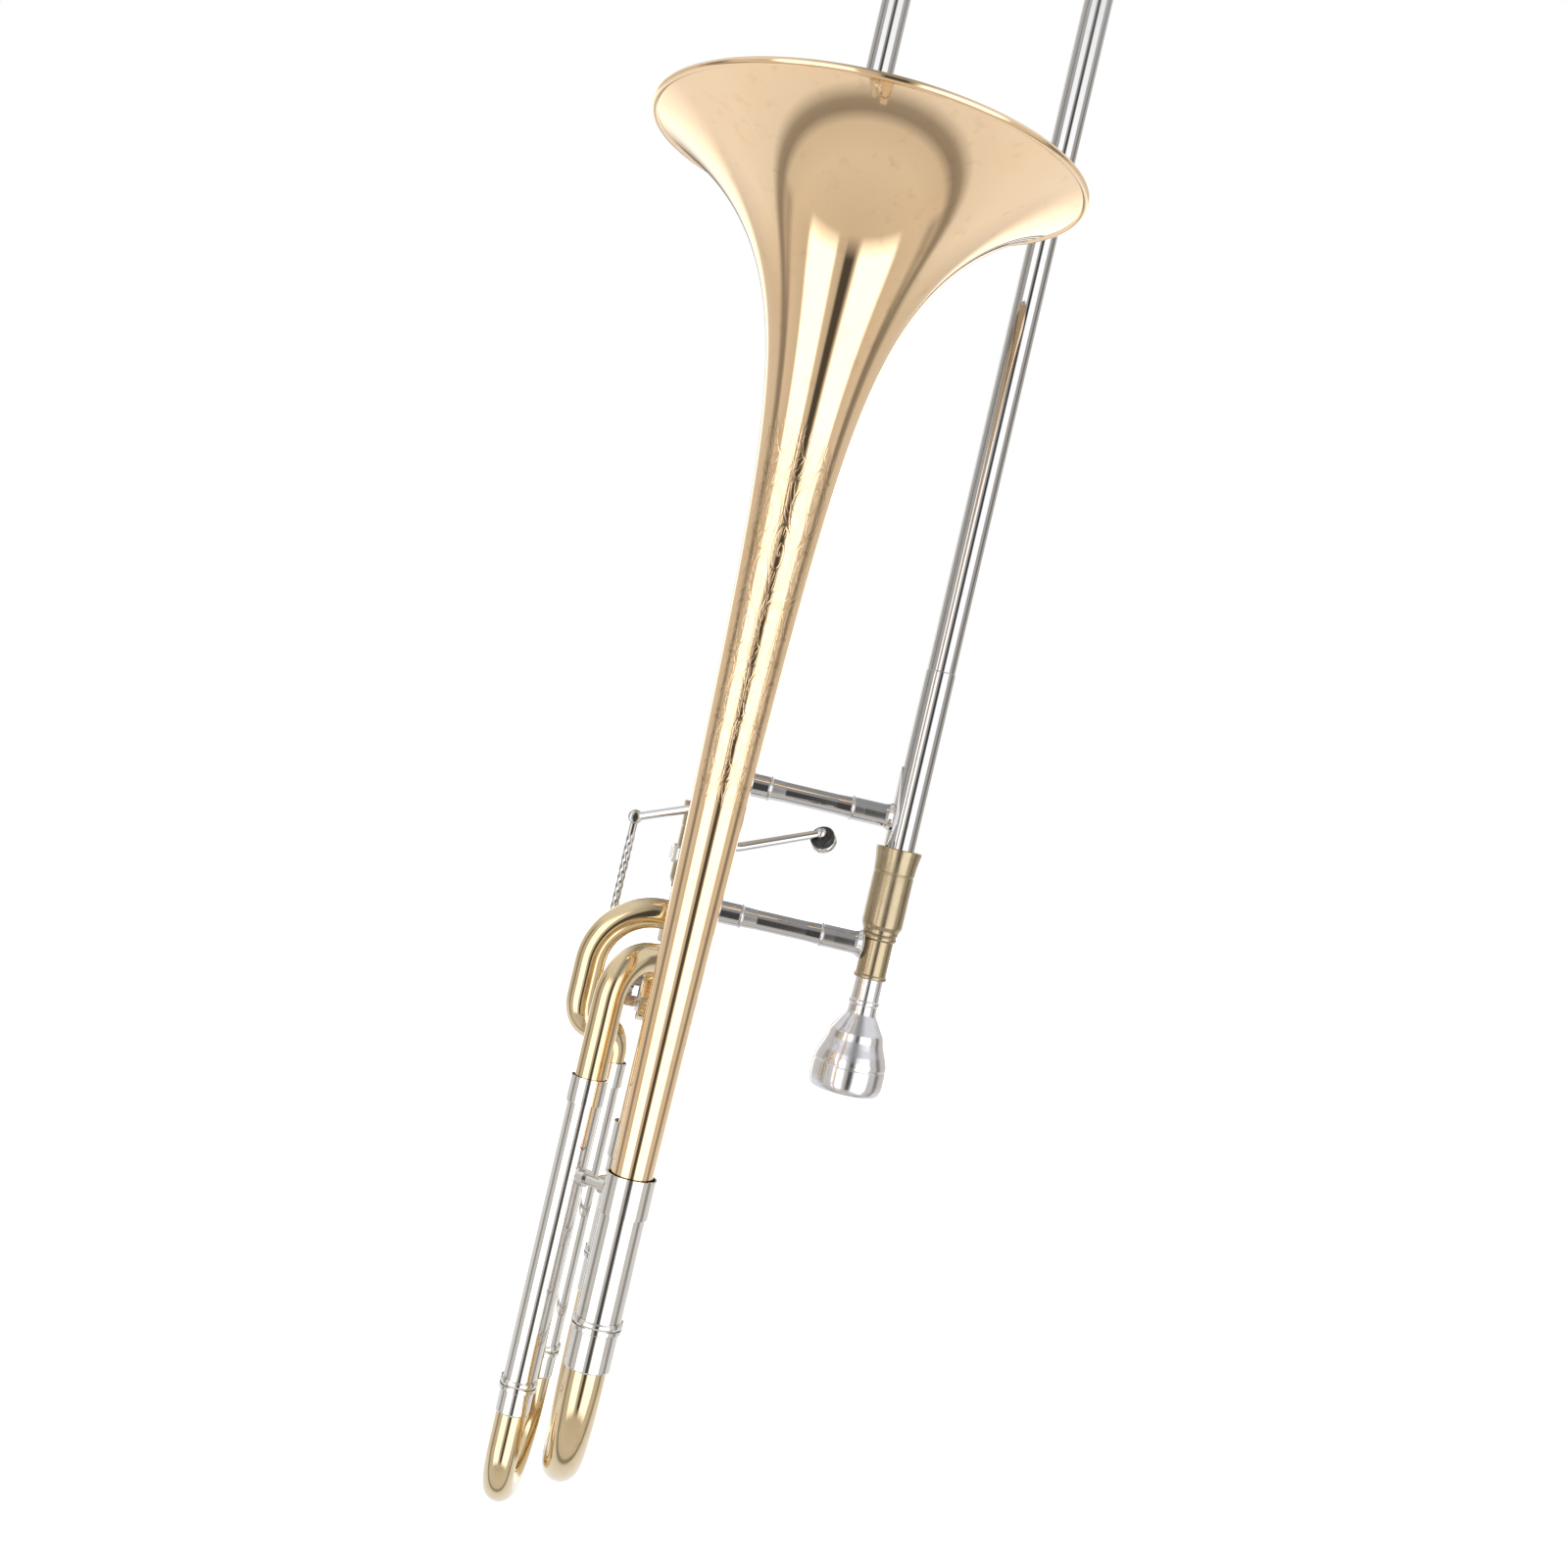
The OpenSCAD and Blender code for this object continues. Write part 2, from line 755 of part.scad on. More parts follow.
module outer_tube() {
    translate([0, 0, slide_foot_z]) tube(slide_r, slide_r - slide_wall, slide_len);
}

module outer_tube_mouth() {
    color(plate) translate([slide_gap, 0, 0]) outer_tube();
}

module outer_tube_bell() {
    color(plate) outer_tube();
}

module slide_sleeves() {
    color(plate)
        for (x = slide_x)
            translate([x, 0, 0]) rotate_extrude() polygon([
                [slide_r, slide_foot_z + 1], [sleeve_r, slide_foot_z + 1], [sleeve_r, sleeve_top_z - 0.6],
                [sleeve_r - 0.2, sleeve_top_z], [slide_r, sleeve_top_z]
            ]);
}

// cross bar with a saddle that runs to a point along each tube
module outer_brace() {
    saddle_t = 0.9;
    saddle_l = 27;
    color(plate) {
        cross_bar(brace_high_z, sleeve_r);
        for (s = [0, 1])
            translate([s * slide_gap, 0, brace_high_z]) rotate([0, 0, s * 180]) intersection() {
                translate([0, 0, -saddle_l]) tube(sleeve_r + saddle_t, sleeve_r, 2 * saddle_l);
                rotate([0, 90, 0]) linear_extrude(height = 20)
                    polygon([[-saddle_l, 0], [-8, 7], [8, 7], [saddle_l, 0], [8, -7], [-8, -7]]);
            }
    }
}

module bow_ferrules() {
    color(nickel)
        for (x = slide_x)
            translate([x, 0, slide_top_z - 12]) difference() {
                tube(bow_ferrule_r, slide_r, 26);
                translate([0, 0, 12]) cylinder(r = slide_bow_r, h = 20);
            }
}

module slide_bow() {
    color(nickel) {
        translate([slide_gap / 2, 0, slide_bow_z]) rotate([0, 0, 90]) rotate([180, 0, 0])
            bow(slide_gap / 2, slide_bow_r, slide_bow_r - tube_wall);
        for (x = slide_x)
            translate([x, 0, slide_top_z]) tube(slide_bow_r, slide_bow_r - tube_wall, slide_bow_z - slide_top_z);
    }
}

// rubber foot at the far end of the bow
module slide_tip() {
    color(rubber) difference() {
        translate([slide_gap / 2, 0, tip_z - 10]) rotate_extrude()
            polygon([[0, 0], [5.5, 0], [8, 8], [8, 15], [6.5, 17], [0, 17]]);
        translate([slide_gap / 2, 0, slide_bow_z]) rotate([0, 0, 90]) rotate([180, 0, 0])
            rotate([0, 0, 90]) rotate([90, 0, 0])
                rotate_extrude() translate([slide_gap / 2, 0]) circle(r = slide_bow_r);
    }
}

// ---------- water key ----------

module water_saddle() {
    color(nickel) difference() {
        union() {
            rod([0, -6, key_z + 6], [0, -12.2, key_z + 6], 3.4);
            for (x = [-3.6, 3.6])
                rod([x, -6, key_z - 7], [x, key_pivot_y, key_z - 7], 1.3);
            rod([-5, key_pivot_y, key_z - 7], [-2.4, key_pivot_y, key_z - 7], 1.7);
            rod([2.4, key_pivot_y, key_z - 7], [5, key_pivot_y, key_z - 7], 1.7);
        }
        translate([0, 0, key_z - 30]) cylinder(r = bow_ferrule_r, h = 60);
        rod([0, -5, key_z + 6], [0, -20, key_z + 6], 2);
        rod([-8, key_pivot_y, key_z - 7], [8, key_pivot_y, key_z - 7], 0.8);
    }
}

module water_key() {
    y = key_pivot_y;
    z = key_z - 7;
    color(nickel) {
        difference() {
            union() {
                rod([-2.1, y, z], [2.1, y, z], 2);
                bent_rod([[0, y - 0.6, z], [0, y - 3, z + 6], [0, y - 2.2, z + 13.4]], [6], 1.3);
                bent_rod([[0, y - 0.6, z], [0, y - 3, z - 10], [0, y - 1, z - key_arm]], [10], 1.4);
                rod([0, y - 2.6, z - key_arm + 1], [0, y - 0.2, z - key_arm], 4);
                rod([0, y - 2.6, z + 13], [0, y - 0.9, z + 13], 4);
            }
            rod([-5, y, z], [5, y, z], 0.8 + run_gap);
        }
    }
}

module water_pad() {
    color(cork) rod([0, key_pivot_y - 0.9, key_z + 6], [0, -12.3, key_z + 6], 3.2);
}

module water_spring() {
    wire = 0.35;
    color(steel) {
        rod([-5.6, key_pivot_y, key_z - 7], [5.6, key_pivot_y, key_z - 7], 0.8);
        for (x = [-5.8, 5])
            rod([x, key_pivot_y, key_z - 7], [x + 0.8, key_pivot_y, key_z - 7], 1.6);
    }
}

// ---------- main tuning slide ----------

module main_slide_legs() {
    leg_up = main_leg - 6;
    color(nickel) {
        translate([0, -bell_gap, leg_end_z - 1])
            tube(bell_leg_r - leg_wall - run_gap, bell_leg_r - 2 * leg_wall, leg_up);
        translate([0, 0, leg_end_z - 1])
            tube(neck_leg_r - leg_wall - run_gap, neck_leg_r - 2 * leg_wall, leg_up);
    }
}

module main_bow_ferrules() {
    top = leg_end_z - 0.5;
    color(nickel) {
        translate([0, -bell_gap, top - main_ferrule_h])
            ferrule(bell_leg_r, main_bow_r, bell_leg_r - leg_wall - run_gap, main_ferrule_h);
        translate([0, 0, top - main_ferrule_h])
            ferrule(neck_leg_r, neck_bow_r, neck_leg_r - leg_wall - run_gap, main_ferrule_h);
    }
}

// sleeve whose lower end fits a bow of radius r_bow and whose upper end takes a leg of radius r_leg
module ferrule(r_out, r_bow, r_leg, h) {
    difference() {
        rotate_extrude() polygon([
            [0, 0], [r_out - 0.2, 0], [r_out, 0.8], [r_out, h - 2.4],
            [r_out + 0.9, h - 1.8], [r_out + 0.9, h], [0, h]
        ]);
        translate([0, 0, -eps]) cylinder(r = r_bow, h = h - 1 + eps);
        translate([0, 0, h - 1.01]) cylinder(r = r_leg, h = 3);
    }
}

module main_bow() {
    top = leg_end_z - 1.5;
    color(yellow_brass) {
        translate([0, -bell_gap / 2, main_bow_z]) bow(bell_gap / 2, neck_bow_r, neck_bow_r - tube_wall);
        translate([0, 0, main_bow_z]) tube(neck_bow_r, neck_bow_r - tube_wall, top - main_bow_z);
        translate([0, -bell_gap, main_bow_z]) tube(neck_bow_r, neck_bow_r - tube_wall, 3);
        translate([0, -bell_gap, main_bow_z + 3])
            tube(main_bow_r, neck_bow_r - tube_wall, top - main_bow_z - 3);
    }
}

module main_bow_brace() {
    z = main_bow_z + 1.4;
    color(nickel) brace([0, -bell_gap, z], [0, 0, z], 2.8, 3.6, main_bow_r, neck_bow_r);
}

// ---------- tuning slide of the valve loop ----------

loop_mid = [(-loop_side + loop_back_x) / 2, (loop_front_y + loop_back_y) / 2, loop_bow_z];
loop_turn = atan2(loop_back_x + loop_side, loop_back_y - loop_front_y);
loop_reach = norm([loop_back_x + loop_side, loop_back_y - loop_front_y]) / 2;
loop_spots = [[-loop_side, loop_front_y], [loop_back_x, loop_back_y]];

module loop_slide_legs() {
    color(nickel)
        for (p = loop_spots)
            translate([p[0], p[1], loop_end_z - 1]) tube(loop_r - run_gap, loop_r - leg_wall, loop_leg - 12);
}

module loop_bow_ferrules() {
    color(nickel)
        for (p = loop_spots)
            translate([p[0], p[1], loop_end_z - 0.5 - loop_ferrule_h])
                ferrule(loop_r + leg_wall, loop_r, loop_r - run_gap, loop_ferrule_h);
}

module loop_bow() {
    color(yellow_brass) translate(loop_mid) rotate([0, 0, -loop_turn]) {
        bow(loop_reach, loop_r, loop_r - tube_wall);
        for (s = [-1, 1])
            translate([0, s * loop_reach, 0]) tube(loop_r, loop_r - tube_wall, loop_end_z - 1.5 - loop_bow_z);
    }
}

// ---------- mouthpiece ----------

module mouthpiece() {
    ring_z = -21;
    cup_floor_z = cup_rim_z + 27;
    color(plate) translate([slide_gap, 0, 0]) rotate_extrude() polygon([
        [shank_r - 1, shank_top_z], [shank_r, shank_top_z], [shank_foot_r, receiver_end_z], [7.6, ring_z + 3],
        [8.0, ring_z + 2], [8.0, ring_z], [7.7, ring_z - 1], [9.4, ring_z - 5], [12.2, ring_z - 11],
        [15.6, ring_z - 18], [18.2, ring_z - 24.5], [cup_rim_r - 0.3, ring_z - 30],
        [cup_rim_r, cup_rim_z + 9], [cup_rim_r - 0.2, cup_rim_z + 5], [cup_rim_r - 1.4, cup_rim_z + 1.6],
        [cup_rim_r - 3.2, cup_rim_z], [cup_rim_r - 5, cup_rim_z], [cup_rim_r - 6, cup_rim_z + 1.4],
        [cup_rim_r - 6.3, cup_rim_z + 4], [12.4, cup_rim_z + 12], [10, cup_rim_z + 20],
        [5.6, cup_floor_z], [throat_r, cup_floor_z + 4], [throat_r, cup_floor_z + 12]
    ]);
}

// ---------- drawing ----------

bell();
bell_rim();
leg_ferrules();
bell_leg();
neck_leg();
leg_rings();
tail_brace();
neck_receiver();
neckpipe();
main_tube();
grip_brace();
lever_post();
lever_axle();
lever_spring();
valve_casing();
valve_bearings();
valve_cap();
stop_plate();
stop_corks();
loop_crook_front();
loop_crook_side();
loop_leg_front();
loop_leg_back();
loop_braces();
barrel_mouth();
barrel_bell();
slide_corks();
mouth_receiver();
leadpipe();
inner_tube_mouth();
inner_tube_bell();
slide_joint();
inner_brace();
lock_nut();
slide_lock();
outer_tube_mouth();
outer_tube_bell();
slide_sleeves();
outer_brace();
bow_ferrules();
slide_bow();
slide_tip();
water_saddle();
water_key();
water_spring();
water_pad();
main_slide_legs();
main_bow_ferrules();
main_bow();
main_bow_brace();
loop_slide_legs();
loop_bow_ferrules();
loop_bow();
thumb_lever();
thumb_knob();
link_rod();
valve_rotor();
stop_arm();
mouthpiece();
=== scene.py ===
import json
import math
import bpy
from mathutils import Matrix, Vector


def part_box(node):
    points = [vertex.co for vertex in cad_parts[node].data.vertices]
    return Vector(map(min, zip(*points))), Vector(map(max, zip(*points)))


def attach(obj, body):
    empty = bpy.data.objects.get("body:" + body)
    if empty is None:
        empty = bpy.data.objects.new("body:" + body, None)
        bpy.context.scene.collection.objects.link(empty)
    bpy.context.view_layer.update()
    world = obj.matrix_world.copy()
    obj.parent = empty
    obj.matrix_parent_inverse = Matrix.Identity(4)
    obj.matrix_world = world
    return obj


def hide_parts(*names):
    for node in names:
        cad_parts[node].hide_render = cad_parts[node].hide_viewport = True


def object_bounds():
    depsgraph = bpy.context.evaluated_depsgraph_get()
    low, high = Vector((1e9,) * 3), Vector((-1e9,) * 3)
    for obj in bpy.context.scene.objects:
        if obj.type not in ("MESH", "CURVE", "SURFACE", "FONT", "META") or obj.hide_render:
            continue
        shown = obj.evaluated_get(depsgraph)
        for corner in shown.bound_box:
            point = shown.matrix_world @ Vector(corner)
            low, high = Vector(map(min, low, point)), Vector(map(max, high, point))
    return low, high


bl_info = {
    "name": "Slide Trombone Finish",
    "version": (1, 0, 0),
    "blender": (4, 5, 0),
    "location": "3D View > Sidebar > Trombone",
    "description": "Builds the polished surfaces, finishes and studio of a slide trombone with a thumb valve",
    "category": "Object",
}

import bpy
import numpy as np
from mathutils import Matrix, Vector

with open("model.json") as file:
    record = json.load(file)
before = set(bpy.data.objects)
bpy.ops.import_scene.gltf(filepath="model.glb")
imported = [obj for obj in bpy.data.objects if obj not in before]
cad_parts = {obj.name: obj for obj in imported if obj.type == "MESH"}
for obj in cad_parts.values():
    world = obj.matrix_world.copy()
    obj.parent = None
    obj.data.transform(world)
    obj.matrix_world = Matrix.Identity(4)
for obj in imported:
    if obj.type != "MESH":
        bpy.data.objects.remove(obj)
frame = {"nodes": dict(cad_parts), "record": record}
cad_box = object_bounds()

MM = 0.001
TAU = 2 * math.pi


# ---------- places taken from the frame ----------


def mm(*values):
    """Numbers or points given in millimetres, as an array in metres."""
    return np.array(values, float) * MM


def spot(node):
    """Middle of a node's box, in metres."""
    low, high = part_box(node)
    return (low + high) / 2


def span(node, axis):
    """Lowest and highest value of a node along one axis, in metres."""
    low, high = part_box(node)
    return low[axis], high[axis]


BELL_Y = spot("bell")[1]
BELL_RADIUS = (span("bell_rim", 0)[1] - span("bell_rim", 0)[0]) / 2
RIM_Z = span("bell", 2)[1]
STEM_Z = span("bell", 2)[0]
SLIDE_X = spot("outer_tube_mouth")[0]
VALVE = spot("valve_casing")
SLIDE_TUBES = ("outer_tube_bell", "outer_tube_mouth", "slide_sleeves", "inner_tube_bell", "inner_tube_mouth")


# ---------- surfaces ----------


def piece(name, parts, body, stands_for, slot, finish=None):
    """One mesh object from closed parts, in the slot's own finish unless another is named.

    Each part is (points, list of face arrays, uv or None)."""
    points, faces, sizes, uvs, start = [], [], [], [], 0
    for spots, groups, uv in parts:
        points.append(spots)
        uvs.append(spots[:, :2] if uv is None else uv)
        for group in groups:
            faces.append((group + start).ravel())
            sizes.append(np.full(len(group), group.shape[1]))
        start += len(spots)
    points, faces, uvs = np.concatenate(points), np.concatenate(faces), np.concatenate(uvs)
    sizes = np.concatenate(sizes)
    mesh = bpy.data.meshes.new(name)
    mesh.vertices.add(len(points))
    mesh.vertices.foreach_set("co", points.astype(np.float32).ravel())
    mesh.loops.add(len(faces))
    mesh.loops.foreach_set("vertex_index", faces.astype(np.int32))
    mesh.polygons.add(len(sizes))
    mesh.polygons.foreach_set("loop_start", (np.cumsum(sizes) - sizes).astype(np.int32))
    mesh.update(calc_edges=True)
    mesh.polygons.foreach_set("use_smooth", np.ones(len(sizes), bool))
    layer = mesh.uv_layers.new(name="UVMap")
    layer.data.foreach_set("uv", uvs[faces].astype(np.float32).ravel())
    if mesh.validate():
        raise RuntimeError(f"{name}: the surface has faulty faces")
    obj = bpy.data.objects.new(name, mesh)
    bpy.context.scene.collection.objects.link(obj)
    mesh.materials.append(FINISH[finish or slot])
    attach(obj, body)
    if stands_for:
        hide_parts(*stands_for)


def wrap_faces(rows, cols):
    """Quads of a grid of points that closes on itself both ways."""
    i, j = np.meshgrid(np.arange(rows), np.arange(cols), indexing="ij")
    a, b = i * cols + j, i * cols + (j + 1) % cols
    k = (i + 1) % rows
    return np.stack([a, b, k * cols + (j + 1) % cols, k * cols + j], -1).reshape(-1, 4)


def strip_faces(rows, cols):
    """Quads of a grid of rings that stays open at its first and last ring."""
    i, j = np.meshgrid(np.arange(rows - 1), np.arange(cols), indexing="ij")
    a, b = i * cols + j, i * cols + (j + 1) % cols
    return np.stack([a, b, b + cols, a + cols], -1).reshape(-1, 4)


def outward(points, groups):
    """Turns every face round when the closed surface has a negative volume."""
    total = 0.0
    for g in groups:
        for k in range(1, g.shape[1] - 1):
            a, b, c = points[g[:, 0]], points[g[:, k]], points[g[:, k + 1]]
            total += np.einsum("ij,ij->i", a, np.cross(b, c)).sum()
    return [g[:, ::-1] for g in groups] if total < 0 else groups


def loft(rings):
    """Closed surface through rings of points, shape (rows, cols, 3), with a fan to the middle of each end."""
    rows, cols = rings.shape[:2]
    points = np.concatenate([rings.reshape(-1, 3), rings[:1].mean(1), rings[-1:].mean(1)])
    j = np.arange(cols)
    n = (j + 1) % cols
    first = np.stack([n, j, np.full(cols, rows * cols)], -1)
    base = (rows - 1) * cols
    last = np.stack([base + j, base + n, np.full(cols, rows * cols + 1)], -1)
    return points, outward(points, [strip_faces(rows, cols), first, last]), None


def hoop(rings, uv=None):
    """Closed surface through rings of points whose last ring joins the first."""
    rows, cols = rings.shape[:2]
    points = rings.reshape(-1, 3)
    return points, outward(points, [wrap_faces(rows, cols)]), uv


def softened(outline, radius=0.3 * MM, closed=True, steps=5):
    """Outline whose corners p are cut back to a and b and rounded: (1-t)^2 a + 2 t (1-t) p + t^2 b.

    A support point past each end of the curve keeps the shading flat beside it."""
    p = np.asarray(outline, float)
    before, after = np.roll(p, 1, 0) - p, np.roll(p, -1, 0) - p
    lb, la = np.linalg.norm(before, axis=1), np.linalg.norm(after, axis=1)
    cut = np.minimum(radius, 0.3 * np.minimum(lb, la))[:, None]
    a, b = p + before / lb[:, None] * cut, p + after / la[:, None] * cut
    t = np.linspace(0, 1, steps)[None, :, None]
    arc = (1 - t) ** 2 * a[:, None] + 2 * t * (1 - t) * p[:, None] + t**2 * b[:, None]
    ahead, past = p + before / lb[:, None] * cut * 1.4, p + after / la[:, None] * cut * 1.4
    rounded = np.concatenate([ahead[:, None], arc, past[:, None]], 1)
    if closed:
        return rounded.reshape(-1, p.shape[1])
    return np.concatenate([p[:1], rounded[1:-1].reshape(-1, p.shape[1]), p[-1:]])


def basis(direction):
    """Two unit vectors across a direction."""
    d = np.asarray(direction, float) / np.linalg.norm(direction)
    side = np.cross(d, [0.0, 0.0, 1.0])
    if np.linalg.norm(side) < 1e-6:
        side = np.array([1.0, 0.0, 0.0])
    side = side / np.linalg.norm(side)
    return side, np.cross(d, side), d


def turned_ring(outline, origin, direction=(0, 0, 1), around=96, closed=True):
    """Outline of (radius r, distance along h) swept round an axis.

    Point = origin + r cos(a) side + r sin(a) up + h direction."""
    side, up, d = basis(direction)
    o = np.asarray(outline, float)
    a = np.linspace(0, TAU, around, endpoint=False)[None, :, None]
    r, h = o[:, 0][:, None, None], o[:, 1][:, None, None]
    rings = np.asarray(origin, float) + r * (np.cos(a) * side + np.sin(a) * up) + h * d
    uv = None
    if closed:
        v = np.broadcast_to(o[:, 1][:, None], rings.shape[:2])
        u = np.broadcast_to(a[:, :, 0], rings.shape[:2])
        uv = np.stack([u, v], -1).reshape(-1, 2)
        return hoop(rings, uv)
    return loft(rings)


def bent(points, bends, step=1.6 * MM):
    """Route through points with a round bend at each inner point, laid out again in even steps.

    A bend of radius r starts r tan(angle / 2) before its corner: start + r sin(t) u + r (1 - cos(t)) side."""
    p = np.asarray(points, float)
    route = [p[:1]]
    for i in range(1, len(p) - 1):
        u = (p[i] - p[i - 1]) / np.linalg.norm(p[i] - p[i - 1])
        v = (p[i + 1] - p[i]) / np.linalg.norm(p[i + 1] - p[i])
        angle = math.acos(max(-1, min(1, float(u @ v))))
        if angle < 1e-3:
            continue
        side = (v - u * (u @ v)) / np.linalg.norm(v - u * (u @ v))
        start = p[i] - u * bends[i - 1] * math.tan(angle / 2)
        t = np.linspace(0, angle, max(6, int(angle * bends[i - 1] / step)))[:, None]
        route.append(start + bends[i - 1] * (np.sin(t) * u + (1 - np.cos(t)) * side))
    route.append(p[-1:])
    joined = np.concatenate(route)
    gap = np.linalg.norm(np.diff(joined, axis=0), axis=1)
    keep = np.concatenate([[True], gap > 1e-6])
    joined = joined[keep]
    length = np.concatenate([[0], np.cumsum(np.linalg.norm(np.diff(joined, axis=0), axis=1))])
    count = max(3, int(length[-1] / step))
    at = np.linspace(0, length[-1], count)
    return np.stack([np.interp(at, length, joined[:, k]) for k in range(3)], -1)


def carried(route):
    """Two unit vectors across a route, carried along it without twist.

    Each side vector is the last one, made square to the route's direction again."""
    ahead = np.gradient(route, axis=0)
    ahead = ahead / np.linalg.norm(ahead, axis=1)[:, None]
    side = basis(ahead[0])[0]
    sides = np.empty_like(route)
    for i, d in enumerate(ahead):
        side = side - d * (side @ d)
        side = side / np.linalg.norm(side)
        sides[i] = side
    return sides, np.cross(ahead, sides)


def rings_along(route, radius, around=64, turn=0.0, shape=None):
    """Rings of a section carried along a route: point = route + r cos(a) side + r sin(a) up.

    The radius is one number or one for each ring, and shape scales it by angle."""
    side, up = carried(route)
    a = np.linspace(0, TAU, around, endpoint=False)[None, :]
    r = np.broadcast_to(np.asarray(radius, float).reshape(-1, 1), (len(route), 1))
    r = r * (1.0 if shape is None else shape(a + np.asarray(turn).reshape(-1, 1)))
    across = np.cos(a)[..., None] * side[:, None] + np.sin(a)[..., None] * up[:, None]
    return route[:, None] + r[..., None] * across


def hollow(route, radius, wall, around=64):
    """Tube wall along a route: the outer rings forward, then the inner rings back."""
    outer = rings_along(route, radius, around)
    inner = rings_along(route, np.asarray(radius) - wall, around)
    return hoop(np.concatenate([outer, inner[::-1]]))


def solid(route, radius, around=32, turn=0.0, shape=None):
    """Solid rod along a route, with its ends rounded over by 0.3 of its smallest radius."""
    n = len(route)
    r = np.broadcast_to(np.asarray(radius, float), (n,)).copy()
    length = np.concatenate([[0], np.cumsum(np.linalg.norm(np.diff(route, axis=0), axis=1))])
    edge = 0.3 * r.min()
    ends = np.array([0.0, 0.12, 0.3, 0.6, 1.0]) * edge
    inside = length[(length > edge) & (length < length[-1] - edge)]
    at = np.unique(np.concatenate([ends, inside, length[-1] - ends]))
    track = np.stack([np.interp(at, length, route[:, k]) for k in range(3)], -1)
    size = np.interp(at, length, r)
    near = np.minimum(np.minimum(at, at[-1] - at) / edge, 1)
    size = size - edge * (1 - np.sqrt(1 - (1 - near) ** 2))
    spin = np.interp(at, length, np.broadcast_to(np.asarray(turn, float), (n,)))
    return loft(rings_along(track, size, around, spin, shape))


def ball(centre, radius, around=40):
    """Sphere as a half circle turned round a vertical axis."""
    t = np.linspace(0.02, math.pi - 0.02, 20)
    outline = np.stack([np.sin(t) * radius, -np.cos(t) * radius], -1)
    return turned_ring(outline, centre, around=around, closed=False)


def stud(start, end, radius, around=40):
    """Short round rod from one point to another with softened ends."""
    start, end = np.asarray(start, float), np.asarray(end, float)
    h = np.linalg.norm(end - start)
    r = radius
    cut = min(0.25 * r, 0.25 * h)
    outline = [(r * 0.3, 0), (r - cut, 0), (r - 0.3 * cut, 0.3 * cut), (r, cut), (r, h / 2), (r, h - cut)]
    outline += [(r - 0.3 * cut, h - 0.3 * cut), (r - cut, h), (r * 0.3, h)]
    return turned_ring(outline, start, end - start, around, closed=False)


# ---------- finishes ----------


class Nodes:
    """Short hand for building the node tree of one material or world."""

    def __init__(self, owner, shader="Principled BSDF"):
        owner.use_nodes = True
        self.owner = owner
        self.tree = owner.node_tree
        self.shader = self.tree.nodes[shader]

    def add(self, kind, **values):
        """New node, with each value set on the input of that name or else on the node itself."""
        node = self.tree.nodes.new(kind)
        for key, value in values.items():
            if key in node.inputs:
                node.inputs[key].default_value = value
            else:
                setattr(node, key, value)
        return node

    def join(self, source, target):
        """Link from one node's output to another's input."""
        self.tree.links.new(source, target)

    def place(self, scale):
        """Object coordinates stretched by a scale along each axis."""
        coordinates = self.add("ShaderNodeTexCoord")
        mapping = self.add("ShaderNodeMapping", Scale=scale)
        self.join(coordinates.outputs["Object"], mapping.inputs["Vector"])
        return mapping.outputs["Vector"]

    def noise(self, scale, detail=3.0, stretch=(1, 1, 1)):
        """Noise from 0 to 1 over the object's own coordinates."""
        node = self.add("ShaderNodeTexNoise", Scale=scale, Detail=detail)
        self.join(self.place(stretch), node.inputs["Vector"])
        return node.outputs["Fac"]

    def levels(self, value, low, high, start=0.0, end=1.0):
        """Value stretched from low..high to start..end."""
        node = self.add("ShaderNodeMapRange", clamp=True)
        for key, number in zip(("From Min", "From Max", "To Min", "To Max"), (low, high, start, end)):
            node.inputs[key].default_value = number
        self.join(value, node.inputs["Value"])
        return node.outputs["Result"]

    def math(self, operation, a, b=0.0):
        """Result of one operation on numbers or sockets."""
        node = self.add("ShaderNodeMath", operation=operation)
        for slot, value in zip(node.inputs, (a, b)):
            if isinstance(value, (int, float)):
                slot.default_value = value
            else:
                self.join(value, slot)
        return node.outputs[0]

    def mix(self, share, a, b):
        """Colour a, going over to colour b by share."""
        node = self.add("ShaderNodeMix", data_type="RGBA")
        for slot, value in zip((node.inputs[0], node.inputs[6], node.inputs[7]), (share, a, b)):
            if isinstance(value, (int, float)):
                slot.default_value = value
            elif isinstance(value, (tuple, list)):
                slot.default_value = (*value, 1.0)
            else:
                self.join(value, slot)
        return node.outputs[2]

    def bump(self, height, strength, distance):
        """Normal of a surface raised by a height."""
        node = self.add("ShaderNodeBump", Strength=strength, Distance=distance)
        self.join(height, node.inputs["Height"])
        return node.outputs["Normal"]

    def set(self, **values):
        """Constants on the shader's inputs, with spaces written as underscores."""
        for key, value in values.items():
            self.shader.inputs[key.replace("_", " ")].default_value = value


def tinted(colour, *factors):
    """Colour with each channel scaled, by one factor for all or one for each."""
    return tuple(c * k for c, k in zip(colour, factors * (3 // len(factors))))


